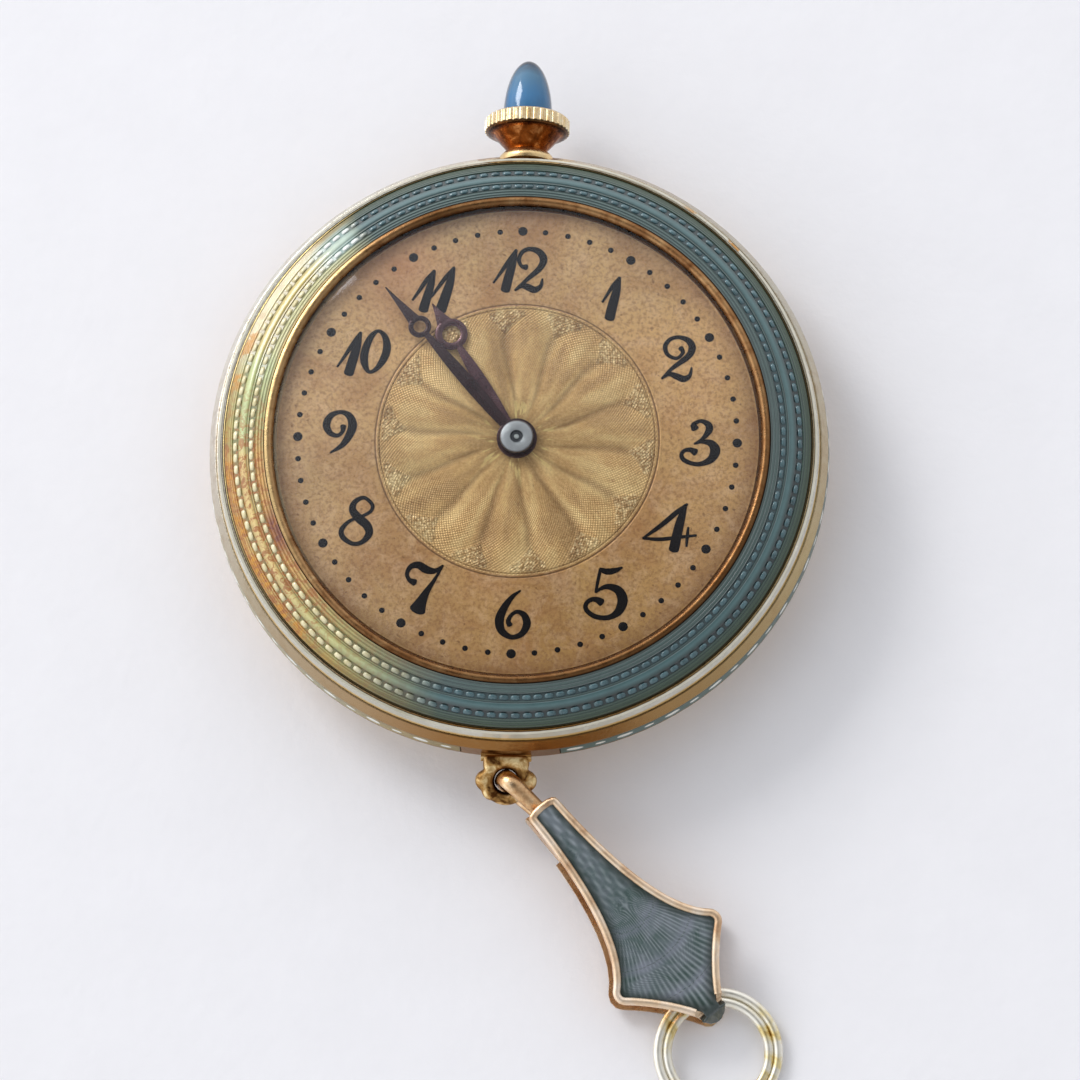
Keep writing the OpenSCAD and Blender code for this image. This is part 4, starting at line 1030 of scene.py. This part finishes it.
# --- Clip body ---
# The spring clip has a flat gold back leaf with two cheeks, a pin through them and a front leaf that hinges on
# the pin. The front leaf is a tray whose rolled rim stands round the enamel.
clip_gold = gold_finish("clip_gold", (246, 218, 178), (230, 192, 146), (196, 148, 104), 1.4, (0.22, 0.36))
clip_rose = gold_finish("clip_rose_gold", (255, 238, 220), (242, 212, 178), (200, 156, 118), 1.3, (0.32, 0.46))
wear("clip_back", clip_gold)
wear("clip_pin", steel)
wear("clip_front", clip_rose)
front_low, front_t, rim_wide, tip_bend_x, tip_bend = 1.5, 0.46, 0.25, 11.55, np.radians(52)
rim_half, rim_rise, rim_sunk = 0.168, 0.12, 0.06
spade = np.vstack([
    [(0, 0.42), (0.08, 0.62), (0.24, 0.76)],
    bend_line((0.24, 0.76), (6.7, 0.92), (8.35, 2.83), np.arange(1, 19) / 18),
    [(8.48, 2.91), (8.6, 2.95), (8.75, 2.96), (8.9, 2.93), (9.02, 2.86), (9.1, 2.79)],
    bend_line((9.1, 2.79), (10.4, 1.3), (12.05, 0.42), np.arange(1, 17) / 16), [(12.2, 0.22)]])


def left_of(line):
    """The sideways direction at each point of a line, to its left."""
    run = np.gradient(line, axis=0)
    run /= np.linalg.norm(run, axis=1)[:, None]
    return np.column_stack([-run[:, 1], run[:, 0]])


def inset_spade(inset):
    """The spade's side moved inwards."""
    moved = spade - inset * left_of(spade)
    moved[:, 1] = np.maximum(moved[:, 1], 0.02)
    return moved


rim_line = inset_spade(rim_wide / 2 + 0.02)
rim_line = rim_line[rim_line[:, 0] < tip_bend_x]
one_side = smooth_line(np.column_stack([rim_line, np.zeros(len(rim_line))]), 4)[:, :2]
rim_path = np.vstack([one_side[::-1], [(one_side[0, 0] - 0.02, 0.0)], one_side * [1, -1]])
rim_points, sides = [], 12
for (x, y), out in zip(rim_path, left_of(rim_path)):
    for a in np.arange(sides) * 2 * np.pi / sides:
        rim_points.append((x + out[0] * rim_half * np.cos(a), y + out[1] * rim_half * np.cos(a), front_low
                           + front_t - rim_sunk + rim_rise * np.sin(a)))
rim_faces = woven(len(rim_path), sides, round_rows=False)
rim_faces += [[first + s for s in range(sides)] for first in (0, len(rim_points) - sides)]
solid("clip_rim", on_clip(rim_points), rim_faces, clip_rose, "clip", slot="rose_gold")

# --- Clip enamel ---
# Blue-grey glass covers the tray, over silver cut with fans of fine rays that open in scallops towards the
# wide end. The bare bent tip is dark with glass that ran over it, and painted darker still as shade where it bends
# down.
tray_floor, glass_top, glass_swell = 0.18, 0.37, 0.07
fan_pitch, fan_from, ray_cut, scallop_cut = 1.7, 5.2, 0.012, 0.018
tip_long, tip_steps, bend_steps, tip_thick = 0.65, 14, 6, np.array([0.16, 0, 0.12])
inner_side = inset_spade(rim_wide + 0.02)
rows = np.concatenate([np.linspace(0.27, 8.0, 90), np.linspace(8.05, tip_bend_x, 70)])
wide_at = np.interp(rows, inner_side[:, 0], inner_side[:, 1])
across = np.linspace(-1, 1, 61)
grid_x = np.repeat(rows[:, None], len(across), 1)
grid_y = wide_at[:, None] * across[None, :]


def fans(x, y):
    """Fine rays cut in scallops: 0 in a cut and 1 between cuts, and how near a scallop's edge lies.
    In the narrow part the cuts run along the clip."""
    far = np.hypot(x - fan_from, y)
    step = (far % fan_pitch) / fan_pitch
    a = np.arctan2(y, x - fan_from)
    rays = 0.5 + 0.5 * np.cos(a * (96 + 14 * np.floor(far / fan_pitch)) + 0.8 * np.sin(2.1 * far))
    narrow = np.clip((fan_from + 0.9 - x) / 0.9, 0, 1)
    along = (0.5 + 0.15 * np.cos(y * 24 + 2 * np.sin(1.7 * x)) + 0.14 * np.cos(5.3 * x + 13 * y)
             + 0.12 * np.cos(9 * x - 17 * y))
    return rays * (1 - narrow) + along * narrow, np.where(x < fan_from + 0.4, 0.5, step)


rays, step = fans(grid_x, grid_y)
dome = np.sqrt(np.clip(1 - across[None, :] ** 2 * 0.85, 0, 1))
height = front_low + glass_top + glass_swell * dome + ray_cut * (rays - 0.5) + scallop_cut * (step - 0.5)
level = np.stack([grid_x, grid_y, height], -1).reshape(-1, 3)
columns = len(across)
last, pivot, bent = level[-columns:], np.array([tip_bend_x, 0, front_low]), []
arm = last - pivot
for a in tip_bend * np.arange(1, bend_steps + 1) / bend_steps:
    x, z = swung(-a, arm[:, 0], arm[:, 2])
    bent.append(np.column_stack([pivot[0] + x, last[:, 1], pivot[2] + z]))
end_way = np.array([np.cos(tip_bend), 0, -np.sin(tip_bend)])
for out in tip_long * np.arange(1, tip_steps + 1) / tip_steps:
    row = bent[bend_steps - 1].copy()
    row[:, 1] = across * (np.interp(tip_bend_x + out, spade[:, 0], spade[:, 1]) - 0.02)
    bent.append(row + end_way * out)
upper = np.vstack([level] + bent)
under = upper.copy()
under[:len(level), 2] = front_low + tray_floor
under[len(level):] -= tip_thick
whole = len(upper)
edges = (range(0, whole, columns), range(columns - 1, whole, columns), range(columns), range(whole - columns, whole))
tray_points = np.vstack([upper, under])
tray_faces = woven(whole // columns, columns, round_rows=False, round_columns=False)
for side in edges:
    tray_faces += [(b, c, c + whole, b + whole) for b, c in zip(side, side[1:])]

clip_enamel, tree, skin = new_finish("fan_enamel", Coat_Weight=1.0, Coat_Roughness=0.05)
silver = ramp(tree, marked(tree, "cut"), [(0.0, (40, 52, 54)), (0.5, (90, 103, 106)), (1.0, (156, 164, 168))])
silver = blend(tree, ramp(tree, marked(tree, "edge"), [(0.0, 0.8), (0.2, 0.0), (0.8, 0.0), (1.0, 0.7)]), silver,
               (132, 134, 152))
clouded = mottle(tree, [(0.36, (56, 82, 74)), (0.64, (134, 140, 150))], 1.1, 5, 0.6, 0.6)
silver = blend(tree, 0.45, silver, clouded)
silver = blend(tree, times(tree, marked(tree, "brink"), 0.95), silver, (22, 36, 28))
# The bent tip is painted dark green-grey: its glass, and painted shade where it bends down.
paint(tree, skin, blend(tree, marked(tree, "tip"), silver, (34, 52, 50)))
polish(tree, skin, 0.25, 0.45, 0.4, 4)
rough_up(tree, skin, speckle(tree, 0.15, 4), 0.008)
enamel_piece = solid("clip_glass", on_clip(tray_points), tray_faces, clip_enamel, "clip", slot="teal_enamel",
                     replaces=("clip_enamel",), crease=50)
own = np.array([v.co for v in enamel_piece.data.vertices]) / mm
off = own[:, :2] - np.array(clip_at)
along, beside = swung(-clip_turn, off[:, 0], off[:, 1])
along = (along - 1.8 * np.sin(clip_tilt)) / np.cos(clip_tilt)
cuts, scallops = fans(along, beside)
from_rim = np.interp(along, spade[:, 0], spade[:, 1]) - rim_wide - abs(beside)
mark(enamel_piece, cut=cuts, edge=scallops, tip=np.clip((along - tip_bend_x + 0.1) / 0.25, 0, 1),
     brink=np.clip(1.25 - from_rim / (0.26 + 0.03 * along), 0, 1))

# --- End ring ---
# The clip holds a split ring of two turns of round wire, gold plated and worn to pale metal. The turns are made
# as two plain rings of wire, one inside the other.
ring_centre, ring_tilt, ring_turns, wire = (9.42, -26.75, 0.499), np.radians(5.8), (2.66, 2.25), 0.22
ring_gold, tree, skin = new_finish("worn_plated_wire", Metallic=1.0)
cloud = speckle(tree, 1.3, 4, 0.6, 0.5)
paint(tree, skin, ramp(tree, cloud, [(0.3, (206, 172, 96)), (0.4, (238, 220, 164)), (0.52, (247, 242, 228)),
                                     (0.8, (252, 250, 244))]))
polish(tree, skin, 0.3, 0.45, 0.4, 4)
rough_up(tree, skin, speckle(tree, 0.2, 5, 0.7), 0.01)
wire_points, wire_faces, steps, sides = [], [], 160, 18
for turn_r in ring_turns:
    wire_faces += woven(steps, sides, len(wire_points))
    for a in np.arange(steps) * 2 * np.pi / steps:
        for b in np.arange(sides) * 2 * np.pi / sides:
            r, z = turn_r + (wire - 0.008) * np.cos(b), (wire - 0.004) * np.sin(b)
            x, z = swung(-ring_tilt, r * np.cos(a), z)
            x, y = swung(clip_turn, x, r * np.sin(a))
            wire_points.append((ring_centre[0] + x, ring_centre[1] + y, ring_centre[2] + z))
solid("ring_wires", wire_points, wire_faces, ring_gold, "watch", slot="gold", replaces=("end_ring",))
